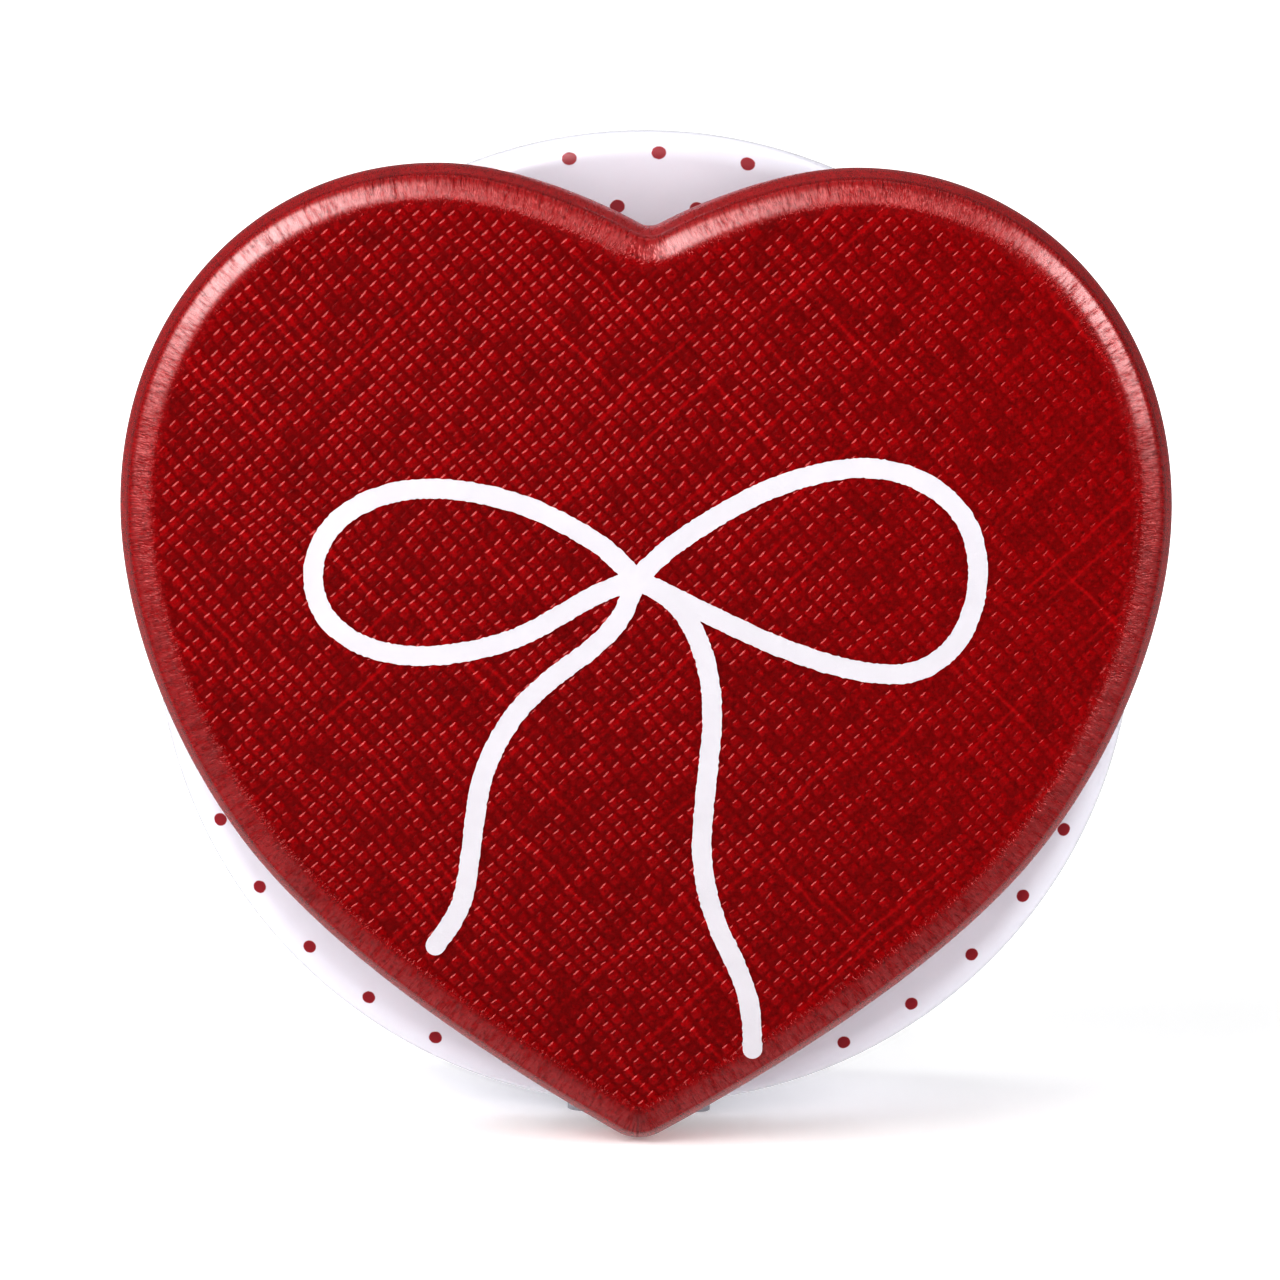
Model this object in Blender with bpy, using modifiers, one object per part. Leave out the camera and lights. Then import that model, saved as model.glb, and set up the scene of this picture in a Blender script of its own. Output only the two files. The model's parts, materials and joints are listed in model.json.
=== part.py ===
"""Wind-up music box: an embossed heart with a bow line, on a round drum case with a comb movement.

Lengths are in millimetres here and become metres where a mesh is made. X is to the right, Y is
depth, measured from the heart's face by at(), and Z is up from the surface that the box stands on.
Inside the drum, inside() measures down from the drum's axis and forward from the bedplate.
"""

import math
import random

import bmesh
import bpy
from mathutils import Euler, Matrix, Vector

MM = 0.001
GAP = 0.3
BEVEL_ANGLE = 40

# Whole object
FACE_Y = -38.45
DRUM_AXIS_Z = 51.8
BEDPLATE_DEPTH = 34.5

# Heart
HEART_DEPTH = 9.0
HEART_EDGE_RADIUS = 4.2
SKIN_THICKNESS = 0.8
BOARD_INSET = SKIN_THICKNESS + GAP
BOW_LINE_WIDTH = 2.0
BOW_LINE_THICKNESS = 0.3
HEART_SCREW_CIRCLE = 22.0
BOW_KNOT = (-0.9, 57.8)
LEFT_LOOP = (BOW_KNOT, (-4.0, 60.8), (-7.6, 63.0), (-11.5, 64.8), (-15.6, 66.0), (-19.9, 66.6),
             (-24.2, 66.4), (-28.4, 65.0), (-31.7, 62.3), (-33.2, 58.3), (-32.3, 54.2),
             (-29.2, 51.3), (-25.1, 50.0), (-20.8, 49.9), (-16.5, 50.6), (-12.4, 51.9),
             (-8.6, 54.0), (-4.9, 56.2), BOW_KNOT)
RIGHT_LOOP = (BOW_KNOT, (2.2, 60.8), (5.7, 63.3), (9.3, 65.5), (13.2, 67.3), (17.3, 68.6),
              (21.6, 69.2), (25.8, 68.6), (29.6, 66.6), (32.2, 63.5), (33.2, 59.5), (32.8, 55.3),
              (31.0, 51.5), (27.5, 48.9), (23.2, 48.6), (18.9, 49.4), (14.8, 50.7), (10.8, 52.3),
              (6.9, 54.1), (3.0, 56.0), BOW_KNOT)
LEFT_TAIL = (BOW_KNOT, (-2.5, 53.7), (-5.5, 50.6), (-9.0, 47.9), (-12.2, 44.9), (-14.6, 41.3),
             (-16.2, 37.2), (-16.9, 32.9), (-17.4, 28.5), (-18.3, 24.3), (-20.7, 20.5))
RIGHT_TAIL = (BOW_KNOT, (2.9, 55.6), (5.2, 52.2), (6.5, 48.1), (6.9, 43.8), (6.6, 39.6),
              (6.2, 35.3), (6.0, 30.9), (6.5, 26.7), (7.8, 22.6), (9.7, 18.7), (11.1, 14.6),
              (11.4, 10.3))

# Drum case
DRUM_RADIUS = 50.8
DRUM_WALL = 2.0
DRUM_FRONT = 14.0
DRUM_REAR = 38.0
COVER_INNER = 39.5
COVER_REAR = 42.0
DRUM_STEPS = 60
LIP_RADIUS = 48.5
LIP_WALL = 1.5
BOSS_CIRCLE = 43.6
BOSS_RADIUS = 2.7
DISC_RADIUS = 30.0
SCREW_BORE = 1.3

# Wire stand
PIVOT_Z = 30.0
PIVOT_DEPTH = 45.2
BAIL_LENGTH = 41.0
BAIL_WIRE = 1.2
GRIP_RADIUS = 2.2
GRIP_HALF_WIDTH = 14.0
LUG_INNER = 17.5
LUG_OUTER = 20.5
BAIL_TOP_HALF_WIDTH = 22.7
BAIL_FOOT_HALF_WIDTH = 28.0

# Winding parts
ARBOR_RADIUS = 2.0
ARBOR_BORE = ARBOR_RADIUS + GAP
RATCHET_TEETH = 12
RATCHET_TIP = 7.0
RATCHET_ROOT = 5.7
CLICK_PIVOT = (-9.2, 7.0)
CLICK_TIP = (-6.3, 0.6)

# Movement
BEDPLATE_THICKNESS = 2.2
SHAFT_FORWARD = 7.2
MOVEMENT_SCREWS = ((-12.5, -13), (21, -13), (20, 37.2), (-12.5, 28))
BRIDGE_PILLAR_X = 18.0
CROWN_TEETH = 48
CROWN_MODULE = 0.6
PINION_TEETH = 10
CYLINDER_RADIUS = 5.8
PIN_RADIUS = 6.3
CYLINDER_TOP = 17.4
CYLINDER_BOTTOM = 33.8
TRACKS = 18
TRACK_PITCH = 0.88
SHAFT_RADIUS = 0.75
SHAFT_BORE = 1.05
TRAIN_MODULE = 0.3
WHEEL_TEETH = 40
GOVERNOR_PINION_TEETH = 8
GOVERNOR_X = -TRAIN_MODULE * (WHEEL_TEETH + GOVERNOR_PINION_TEETH) / 2
WORM_MODULE = 0.4
GOVERNOR_TEETH = 24
GOVERNOR_DOWN = 38.5
WORM_RADIUS = 1.3
WORM_X = GOVERNOR_X - WORM_MODULE * GOVERNOR_TEETH / 2 - WORM_RADIUS
WORM_PITCH = math.pi * WORM_MODULE
FAN_RADIUS = 4.0
SLIDER_X = -21.2
SLIDER_DOWN = 36.5
SLIDER_TRAVEL = 3.4
SPRING_EYE = (-13.5, -4.5)
GOVERNOR_SCREW = (0.8, 38.9)
COMB_SCREW_X = 20.8
TAPPED_BORE = 1.1
SMALL_BORE = 1.0

# Directions that a piece's own Z axis can be turned to
UP = Euler((0, 0, 0))
FORWARD = Euler((math.pi / 2, 0, 0))
SIDEWAYS = Euler((0, -math.pi / 2, 0))

MATERIALS = {
    "red_leatherette": ((0.24, 0.012, 0.02), 0.42, 0.0),
    "board": ((0.42, 0.28, 0.16), 0.8, 0.0),
    "white_print": ((0.82, 0.77, 0.85), 0.55, 0.0),
    "milky_plastic": ((0.78, 0.74, 0.82), 0.18, 0.0),
    "rubber": ((0.03, 0.03, 0.03), 0.8, 0.0),
    "clear_rubber": ((0.5, 0.49, 0.53), 0.5, 0.0),
    "steel": ((0.55, 0.56, 0.58), 0.3, 1.0),
    "brass": ((0.72, 0.5, 0.2), 0.3, 1.0),
    "cast_zinc": ((0.5, 0.51, 0.53), 0.45, 1.0),
    "chrome": ((0.8, 0.8, 0.82), 0.1, 1.0),
    "grey_plastic": ((0.2, 0.2, 0.22), 0.45, 0.0),
}


# ---------------------------------------------------------------- scene


def clear_scene():
    for item in list(bpy.data.objects):
        bpy.data.objects.remove(item)


def new_collection(name):
    collection = bpy.data.collections.new(name)
    bpy.context.scene.collection.children.link(collection)
    return collection


def make_materials():
    for name, (colour, roughness, metallic) in MATERIALS.items():
        material = bpy.data.materials.new(name)
        material.use_nodes = True
        shader = material.node_tree.nodes["Principled BSDF"]
        shader.inputs["Base Color"].default_value = (*colour, 1.0)
        shader.inputs["Roughness"].default_value = roughness
        shader.inputs["Metallic"].default_value = metallic


def at(x, depth, z):
    """A place in metres, from millimetres right, behind the heart's face and above the floor."""
    return Vector((x, FACE_Y + depth, z)) * MM


def inside(x, down, forward):
    """A place in metres, from millimetres right, below the drum's axis and in front of the bedplate."""
    return at(x, BEDPLATE_DEPTH - forward, DRUM_AXIS_Z - down)


def pivot(name, place):
    """An empty on a joint's axis, for the pieces that turn or slide together."""
    empty = bpy.data.objects.new(name, None)
    empty.empty_display_size = 5 * MM
    empty.location = place
    PARTS.objects.link(empty)
    return empty


def part(name, piece, material, parent=None, smooth=30):
    """Give a finished piece its name, material, shading and parent."""
    piece.name = name
    piece.data.name = name
    piece.data.materials.clear()
    piece.data.materials.append(bpy.data.materials[material])
    if smooth:
        piece.data.shade_smooth()
        piece.data.set_sharp_from_angle(angle=math.radians(smooth))
    if parent:
        piece.parent = parent
        piece.matrix_parent_inverse = Matrix.Translation(parent.location).inverted()
    return piece


# ---------------------------------------------------------------- shapes


def from_mesh(mesh, place=(0, 0, 0), turn=UP):
    piece = bpy.data.objects.new(mesh.name, mesh)
    piece.location = place
    piece.rotation_euler = turn
    PARTS.objects.link(piece)
    return piece


def from_bmesh(shape, place=(0, 0, 0), turn=UP):
    mesh = bpy.data.meshes.new("shape")
    shape.to_mesh(mesh)
    shape.free()
    return from_mesh(mesh, place, turn)


def block(low, high):
    """A box between two opposite corners."""
    corner = Vector(low)
    other = Vector(high)
    shape = bmesh.new()
    bmesh.ops.create_cube(shape, size=1)
    bmesh.ops.scale(shape, vec=[abs(a - b) for a, b in zip(corner, other)], verts=shape.verts)
    return from_bmesh(shape, (corner + other) / 2)


def rod(start, end, radius, sides=24):
    """A round bar between two places."""
    start = Vector(start)
    span = Vector(end) - start
    shape = bmesh.new()
    bmesh.ops.create_cone(shape, cap_ends=True, segments=sides, radius1=radius * MM,
                          radius2=radius * MM, depth=span.length)
    return from_bmesh(shape, start + span / 2, span.to_track_quat("Z", "Y").to_euler())


def turned(profile, place, turn=FORWARD, steps=32):
    """A turned piece. The profile's (radius, height) points run down its outer side."""
    shape = bmesh.new()
    points = [shape.verts.new((radius * MM, 0, height * MM)) for radius, height in profile]
    for first, second in zip(points, points[1:]):
        shape.edges.new((first, second))
    if profile[0][0] > 0:
        shape.edges.new((points[-1], points[0]))
    piece = from_bmesh(shape, place, turn)
    screw = piece.modifiers.new("turn", "SCREW")
    screw.steps = steps
    screw.render_steps = steps
    screw.use_merge_vertices = True
    screw.merge_threshold = 0.00001
    return piece


def new_curve(name, outlines, closed, dimensions="2D"):
    curve = bpy.data.curves.new(name, "CURVE")
    curve.dimensions = dimensions
    for outline in outlines:
        spline = curve.splines.new("POLY")
        spline.points.add(len(outline) - 1)
        for point, place in zip(spline.points, outline):
            flat = len(place) == 2
            point.co = (*(value * MM for value in place), *((0, 1) if flat else (1,)))
        spline.use_cyclic_u = closed
    return curve


def mesh_from_curve(curve, place=(0, 0, 0), turn=UP):
    """The curve's own mesh, with its caps welded on."""
    holder = bpy.data.objects.new("curve", curve)
    PARTS.objects.link(holder)
    graph = bpy.context.evaluated_depsgraph_get()
    mesh = bpy.data.meshes.new_from_object(holder.evaluated_get(graph))
    bpy.data.objects.remove(holder)
    shape = bmesh.new()
    shape.from_mesh(mesh)
    bmesh.ops.remove_doubles(shape, verts=shape.verts, dist=0.000001)
    bmesh.ops.recalc_face_normals(shape, faces=shape.faces)
    shape.to_mesh(mesh)
    shape.free()
    return from_mesh(mesh, place, turn)


def sheet(outlines, place, thickness, turn=FORWARD):
    """A flat piece of this thickness about its place. A second outline is a hole."""
    curve = new_curve("sheet", outlines, closed=True)
    curve.fill_mode = "BOTH"
    curve.extrude = thickness / 2 * MM
    return mesh_from_curve(curve, place, turn)


def wire(points, radius, resolution=2, place=(0, 0, 0)):
    """A round wire along points, with filled ends."""
    curve = new_curve("wire", [points], closed=False, dimensions="3D")
    curve.bevel_depth = radius * MM
    curve.bevel_resolution = resolution
    curve.use_fill_caps = True
    return mesh_from_curve(curve, place)


def tool(piece):
    """Move a piece to the cutters."""
    PARTS.objects.unlink(piece)
    CUTTERS.objects.link(piece)
    piece.hide_render = True
    piece.display_type = "WIRE"


def combine(piece, others, operation):
    for other in others:
        boolean = piece.modifiers.new(operation.lower(), "BOOLEAN")
        boolean.operation = operation
        boolean.object = other
        boolean.solver = "EXACT"
        tool(other)
    return piece


def cut(piece, *others):
    return combine(piece, others, "DIFFERENCE")


def join(piece, *others):
    return combine(piece, others, "UNION")


def bevelled(piece, width, segments=2):
    bevel = piece.modifiers.new("edges", "BEVEL")
    bevel.width = width * MM
    bevel.segments = segments
    bevel.limit_method = "ANGLE"
    bevel.angle_limit = math.radians(BEVEL_ANGLE)
    return piece


# ---------------------------------------------------------------- outlines


def arc(centre, radius, start, end, count):
    """Points on a circle, between two angles in degrees."""
    steps = [math.radians(start + (end - start) * i / (count - 1)) for i in range(count)]
    return [(centre[0] + radius * math.cos(a), centre[1] + radius * math.sin(a)) for a in steps]


def circle(radius, count):
    return arc((0, 0), radius, 0, 360 - 360 / count, count)


def mirrored(half):
    """A half outline on the right of the centre line, with its mirror image."""
    return half + [(-x, z) for x, z in reversed(half) if x > 0.001]


def bezier(start, first, second, end, count):
    """Points along a Bezier curve, without its end."""
    corners = [Vector(point) for point in (start, first, second, end)]
    points = []
    for i in range(count):
        t = i / count
        weights = ((1 - t) ** 3, 3 * t * (1 - t) ** 2, 3 * t * t * (1 - t), t ** 3)
        place = sum((weight * corner for weight, corner in zip(weights, corners)), Vector((0, 0)))
        points.append(tuple(place))
    return points


def heart_outline():
    """The heart, from its tip up its right side to the cleft, and mirrored."""
    tip = (0, 0)
    tip_side = (2.3, 0.62)
    flank = (38.5, 27.7)
    widest = (53.05, 64.5)
    crest = (21, 98.95)
    cleft_side = (1.0, 93.15)
    cleft = (0, 92.9)
    half = bezier(tip, (0.8, 0), (1.6, 0.22), tip_side, 3)
    half += bezier(tip_side, (14.47, 7.55), (29.33, 17.12), flank, 8)
    half += bezier(flank, (46.36, 36.77), (53.05, 51.5), widest, 8)
    half += bezier(widest, (53.05, 84.1), (39.3, 98.95), crest, 12)
    half += bezier(crest, (13.5, 98.95), (5, 95.3), cleft_side, 7)
    half += [cleft_side, (0.4, 92.93), cleft]
    return mirrored(half)


def through(points, per_span=4):
    """A smooth line through points (Catmull-Rom)."""
    padded = [points[0], *points, points[-1]]
    line = []
    for a, b, c, d in zip(padded, padded[1:], padded[2:], padded[3:]):
        for i in range(per_span):
            t = i / per_span
            line.append(tuple(
                0.5 * (2 * b[k] + (c[k] - a[k]) * t + (2 * a[k] - 5 * b[k] + 4 * c[k] - d[k]) * t * t
                       + (3 * b[k] - a[k] - 3 * c[k] + d[k]) * t ** 3) for k in range(len(b))))
    line.append(points[-1])
    return line


def stroke(points, width, round_ends=True):
    """The outline of a line of this width."""
    left = []
    right = []
    for i, (x, z) in enumerate(points):
        before = points[max(i - 1, 0)]
        after = points[min(i + 1, len(points) - 1)]
        angle = math.atan2(after[1] - before[1], after[0] - before[0])
        side = (-math.sin(angle) * width / 2, math.cos(angle) * width / 2)
        left.append((x + side[0], z + side[1]))
        right.append((x - side[0], z - side[1]))
    if not round_ends:
        return right + left[::-1]
    finish = math.degrees(angle)
    first = points[1]
    start = math.degrees(math.atan2(first[1] - points[0][1], first[0] - points[0][0]))
    end_cap = arc(points[-1], width / 2, finish - 90, finish + 90, 5)
    start_cap = arc(points[0], width / 2, start + 90, start + 270, 5)
    return right[1:-1] + end_cap + left[::-1][1:-1] + start_cap


def gear_outline(teeth, module, phase, addendum, dedendum, width=0.38):
    """Spur teeth with one of them centred on the angle phase, in radians."""
    radius = teeth * module / 2
    pitch = 2 * math.pi / teeth
    outline = []
    for i in range(teeth):
        centre = phase + i * pitch
        for level, share in ((-dedendum, -1.3), (addendum, -0.6), (addendum, 0.6), (-dedendum, 1.3)):
            angle = centre + share * width * pitch / 2
            reach = radius + level
            outline.append((reach * math.cos(angle), reach * math.sin(angle)))
    return outline


# ---------------------------------------------------------------- fasteners


def screw(name, head, direction, head_radius, head_height, shank_radius, shank_length):
    """A slotted pan-head screw. Its head's underside is at head, and its shank goes along direction."""
    along = Vector(direction)
    profile = [(0, head_height), (head_radius * 0.8, head_height), (head_radius, head_height * 0.6),
               (head_radius, 0), (shank_radius, 0), (shank_radius, -shank_length), (0, -shank_length)]
    tilt = (-along).to_track_quat("Z", "X").to_euler()
    piece = turned(profile, head, tilt, steps=10)
    slot_centre = Vector(head) - along * head_height * MM
    half = Vector((head_radius * 1.2, head_height * 0.35, head_radius * 0.18)) * MM
    slot = block(slot_centre - half, slot_centre + half)
    return part(name, cut(piece, slot), "steel")


# ---------------------------------------------------------------- heart


def make_heart():
    outline = heart_outline()

    skin = new_curve("skin", [outline], closed=True)
    skin.fill_mode = "BOTH"
    skin.bevel_depth = HEART_EDGE_RADIUS * MM
    skin.bevel_resolution = 1
    skin.offset = -HEART_EDGE_RADIUS * MM
    skin.extrude = (HEART_DEPTH - HEART_EDGE_RADIUS) * MM
    cover = mesh_from_curve(skin, at(0, HEART_DEPTH, 0), FORWARD)
    front_half = bmesh.new()
    front_half.from_mesh(cover.data)
    everything = front_half.verts[:] + front_half.edges[:] + front_half.faces[:]
    bmesh.ops.bisect_plane(front_half, geom=everything, plane_co=(0, 0, 0), plane_no=(0, 0, 1),
                           clear_inner=True)
    front_half.to_mesh(cover.data)
    front_half.free()
    solid = cover.modifiers.new("skin", "SOLIDIFY")
    solid.thickness = SKIN_THICKNESS * MM
    solid.offset = -1
    part("heart_cover", cover, "red_leatherette")

    edge = HEART_EDGE_RADIUS - BOARD_INSET
    half_depth = (HEART_DEPTH - GAP - BOARD_INSET) / 2
    core = new_curve("core", [outline], closed=True)
    core.fill_mode = "BOTH"
    core.bevel_depth = edge * MM
    core.bevel_resolution = 0
    core.offset = -HEART_EDGE_RADIUS * MM
    core.extrude = (half_depth - edge) * MM
    board = mesh_from_curve(core, at(0, BOARD_INSET + half_depth, 0), FORWARD)
    bores = [rod(at(x, 4.5, z), at(x, 10, z), SCREW_BORE, 12) for x, z in heart_screw_places()]
    part("heart_board", cut(board, *bores), "board")


def heart_screw_places():
    return [(x, DRUM_AXIS_Z + z) for x, z in arc((0, 0), HEART_SCREW_CIRCLE, 90, 330, 3)]


def make_bow():
    """The bow's six strokes, each a little thinner than the last so that no two faces coincide."""
    lines = [through(LEFT_TAIL, 2), through(RIGHT_TAIL, 2)]
    for loop in (LEFT_LOOP, RIGHT_LOOP):
        line = through(loop, 2)
        middle = len(line) // 2
        lines += [line[:middle + 1], line[middle:]]
    step = 0.01
    place = at(0, -GAP - BOW_LINE_THICKNESS / 2, 0)
    strokes = []
    for i, line in enumerate(lines):
        thickness = BOW_LINE_THICKNESS - 2 * i * step
        strokes.append(sheet([stroke(line, BOW_LINE_WIDTH)], place, thickness))
    part("bow_print", join(strokes[0], *strokes[1:]), "white_print")


def make_mounting():
    disc = rod(at(0, HEART_DEPTH + GAP, DRUM_AXIS_Z), at(0, DRUM_FRONT - GAP, DRUM_AXIS_Z),
               DISC_RADIUS, 48)
    holes = [rod(at(x, 8, z), at(x, 15, z), SCREW_BORE, 12) for x, z in heart_screw_places()]
    part("mounting_disc", cut(disc, *holes), "grey_plastic")
    seat = DRUM_FRONT + DRUM_WALL + GAP
    for i, (x, z) in enumerate(heart_screw_places()):
        screw(f"heart_screw_{i + 1}", at(x, seat, z), (0, -1, 0), 2.2, 1.4, 1.0, seat - 5.2)


# ---------------------------------------------------------------- drum


def forward_of(depth):
    """Height on a turned profile whose piece is placed at the bedplate's front face."""
    return BEDPLATE_DEPTH - depth


def screw_corners():
    return [(x, DRUM_AXIS_Z + z) for x, z in arc((0, 0), BOSS_CIRCLE, 45, 315, 4)]


def make_drum():
    edge = 3.0
    inner = DRUM_RADIUS - DRUM_WALL
    front = DRUM_FRONT
    profile = [(0, front)]
    profile += [(r, d) for r, d in arc((DRUM_RADIUS - edge, front + edge), edge, -90, 0, 4)]
    profile += [(DRUM_RADIUS, DRUM_REAR), (inner, DRUM_REAR), (inner, front + DRUM_WALL + 1.2)]
    profile += [(inner - 1.2, front + DRUM_WALL), (0, front + DRUM_WALL)]
    heights = [(radius, forward_of(depth)) for radius, depth in profile]
    shell = turned(heights, inside(0, 0, 0), steps=DRUM_STEPS)
    bosses = []
    bores = []
    for x, z in screw_corners():
        bosses.append(rod(at(x, front + 1, z), at(x, DRUM_REAR - GAP, z), BOSS_RADIUS, 16))
        bores.append(rod(at(x, 27, z), at(x, DRUM_REAR + 1, z), TAPPED_BORE, 12))
    bores += [rod(at(x, front - 1, z), at(x, front + 4, z), SCREW_BORE, 12)
              for x, z in heart_screw_places()]
    part("drum_front_shell", cut(join(shell, *bosses), *bores), "milky_plastic")


def make_rear_cover():
    edge = 1.0
    profile = [(LIP_RADIUS, DRUM_REAR - 2.5), (LIP_RADIUS, DRUM_REAR + GAP),
               (DRUM_RADIUS, DRUM_REAR + GAP)]
    profile += [(DRUM_RADIUS, COVER_REAR - edge), (DRUM_RADIUS - edge, COVER_REAR)]
    profile += [(ARBOR_BORE + GAP, COVER_REAR), (ARBOR_BORE + GAP, COVER_INNER),
                (LIP_RADIUS - LIP_WALL, COVER_INNER), (LIP_RADIUS - LIP_WALL, DRUM_REAR - 2.5)]
    heights = [(radius, forward_of(depth)) for radius, depth in profile]
    cover = turned(heights, inside(0, 0, 0), steps=DRUM_STEPS)

    bedplate_rear = -BEDPLATE_THICKNESS
    added = []
    holes = []
    for x, down in MOVEMENT_SCREWS:
        added.append(rod(inside(x, down, bedplate_rear - GAP), inside(x, down, -6), 3.0, 16))
        holes.append(rod(inside(x, down, 0), inside(x, down, -5.6), SCREW_BORE, 12))
    for side in (-1, 1):
        middle = side * (LUG_INNER + LUG_OUTER) / 2
        lug = [(3.0, -4), *arc((0, 0), 3.0, 0, 180, 7), (-3.0, -4)]
        added.append(sheet([lug], at(middle, PIVOT_DEPTH, PIVOT_Z), LUG_OUTER - LUG_INNER, SIDEWAYS))
        holes.append(rod(at(middle - 3, PIVOT_DEPTH, PIVOT_Z), at(middle + 3, PIVOT_DEPTH, PIVOT_Z),
                         BAIL_WIRE + GAP, 16))
    for x, z in screw_corners():
        holes.append(rod(at(x, DRUM_REAR, z), at(x, COVER_REAR + 1, z), TAPPED_BORE, 12))
    for i in range(-2, 3):
        x = 7 * i
        reach = 8 - abs(i)
        middle = DRUM_AXIS_Z + 30
        holes.append(block(at(x - 1, COVER_INNER - 1, middle - reach),
                           at(x + 1, COVER_REAR + 1, middle + reach)))
    left = SLIDER_X - 1.5 - GAP
    right = SLIDER_X + 1.5 + SLIDER_TRAVEL + GAP
    holes.append(block(inside(left, SLIDER_DOWN - 1.5, -4), inside(right, SLIDER_DOWN + 1.5, -9)))
    part("rear_cover", cut(join(cover, *added), *holes), "milky_plastic")

    for i, (x, z) in enumerate(screw_corners()):
        seat = COVER_REAR + GAP
        screw(f"case_screw_{i + 1}", at(x, seat, z), (0, -1, 0), 2.2, 1.3, 0.8, seat - 28)


def make_foot():
    half = 7.5
    pad = block(at(-half, 17, 0), at(half, DRUM_REAR, 2))
    hollow = rod(at(0, 10, DRUM_AXIS_Z), at(0, 45, DRUM_AXIS_Z), DRUM_RADIUS + GAP, 144)
    part("base_foot", cut(pad, hollow), "clear_rubber", smooth=0)


# ---------------------------------------------------------------- stand


def make_stand():
    hinge = pivot("stand_fold", at(0, PIVOT_DEPTH, PIVOT_Z))
    bend = 1.8
    corner = 4.0
    top = BAIL_TOP_HALF_WIDTH
    foot = BAIL_FOOT_HALF_WIDTH
    half = [(LUG_INNER - 0.5, 0), *arc((top - bend, bend), bend, -90, 0, 5)]
    half += [(foot - 0.3, BAIL_LENGTH - corner), *arc((foot - corner, BAIL_LENGTH - corner), corner,
                                                      10, 90, 5)]
    half += [(GRIP_HALF_WIDTH, BAIL_LENGTH), (0, BAIL_LENGTH)]
    outline = half + [(-x, reach) for x, reach in half[-2::-1]]
    drop = math.asin((PIVOT_Z - GRIP_RADIUS) / BAIL_LENGTH)
    lay = Matrix.Rotation(-drop, 4, "X")
    line = [tuple(lay @ Vector((x, reach, 0))) for x, reach in outline]
    bail = wire(line, BAIL_WIRE, 2, at(0, PIVOT_DEPTH, PIVOT_Z))
    part("stand_bail", bail, "chrome", hinge)

    centre = Vector(at(0, PIVOT_DEPTH, PIVOT_Z)) + lay @ Vector((0, BAIL_LENGTH * MM, 0))
    reach = GRIP_HALF_WIDTH
    bore = BAIL_WIRE + GAP
    ring = [(GRIP_RADIUS - 0.3, reach), (GRIP_RADIUS, reach - 0.4), (GRIP_RADIUS, 0.4 - reach),
            (GRIP_RADIUS - 0.3, -reach), (bore, -reach), (bore, reach)]
    sleeve = turned(ring, centre, Euler((0, math.pi / 2, 0)), steps=24)
    part("stand_grip", sleeve, "rubber", hinge)


# ---------------------------------------------------------------- winding parts


def make_winder():
    axis = pivot("key_turn", at(0, COVER_REAR, DRUM_AXIS_Z))
    end = forward_of(COVER_REAR) - 0.7
    profile = [(0, 15.9), (1.2, 15.9), (1.2, 13.8), (ARBOR_RADIUS, 13.8), (ARBOR_RADIUS, end),
               (1.5, end), (1.5, end - 5.2), (0, end - 5.2)]
    part("winding_arbor", turned(profile, inside(0, 0, 0), steps=24), "steel", axis)

    hub_start = COVER_REAR + 1.0
    lobe = (7.0, 55.0)
    half = [(2.4, 48), *arc(lobe, 6.0, -135, 150, 14), (0, 57)]
    outline = half + [(-x, depth) for x, depth in half[-2::-1]]
    wing_outline = [(x, depth - lobe[1]) for x, depth in outline]
    wing = sheet([wing_outline], at(0, lobe[1], DRUM_AXIS_Z), 2.4, UP)
    hub = rod(at(0, hub_start, DRUM_AXIS_Z), at(0, 52, DRUM_AXIS_Z), 3.2, 24)
    socket = rod(at(0, hub_start - 1, DRUM_AXIS_Z), at(0, 48.6, DRUM_AXIS_Z), 1.8, 16)
    part("winding_key", cut(join(wing, hub), socket), "chrome", axis)

    tip_angle = math.atan2(-CLICK_TIP[1], CLICK_TIP[0])
    face = tip_angle - math.radians(5.5)
    saw = []
    for i in range(RATCHET_TEETH):
        angle = face + 2 * math.pi * i / RATCHET_TEETH
        for reach in (RATCHET_TIP, RATCHET_ROOT):
            saw.append((reach * math.cos(angle), reach * math.sin(angle)))
    wheel = sheet([saw, circle(ARBOR_BORE, 20)], inside(0, 0, -BEDPLATE_THICKNESS - 0.8), 1.0)
    part("ratchet_wheel", wheel, "steel", axis, smooth=0)


def make_click():
    layer = -BEDPLATE_THICKNESS - 0.8
    place = inside(*CLICK_PIVOT, layer)
    hinge = pivot("click_lift", place)
    tip = (CLICK_TIP[0] - CLICK_PIVOT[0], CLICK_PIVOT[1] - CLICK_TIP[1])
    lean = math.degrees(math.atan2(tip[1], tip[0]))
    blade = [*arc((0, 0), 1.9, lean + 40, lean + 320, 13), *arc(tip, 0.25, lean - 90, lean + 90, 5)]
    lever = sheet([blade, circle(SMALL_BORE, 12)], place, 1.0)
    part("click", lever, "steel", hinge, smooth=0)
    rear = -BEDPLATE_THICKNESS - 1.6
    screw("click_screw", inside(*CLICK_PIVOT, rear), (0, -1, 0), 1.6, 0.8, 0.7, 3.4)

    line = through([(-13.5, 4.5), (-12.9, 0.5), (-11.4, -2.6), (-9.75, -4.3)], 4)
    leaf = sheet([stroke(line, 0.35, round_ends=False)], inside(0, 0, layer), 0.8)
    ring = sheet([circle(1.7, 16)], inside(*SPRING_EYE, layer), 0.9)
    hole = rod(inside(*SPRING_EYE, layer - 1), inside(*SPRING_EYE, layer + 1), SMALL_BORE, 12)
    part("click_spring", cut(join(ring, leaf), hole), "steel")
    screw("spring_screw", inside(*SPRING_EYE, rear), (0, -1, 0), 1.5, 0.8, 0.7, 3.4)


# ---------------------------------------------------------------- movement frame


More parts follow.
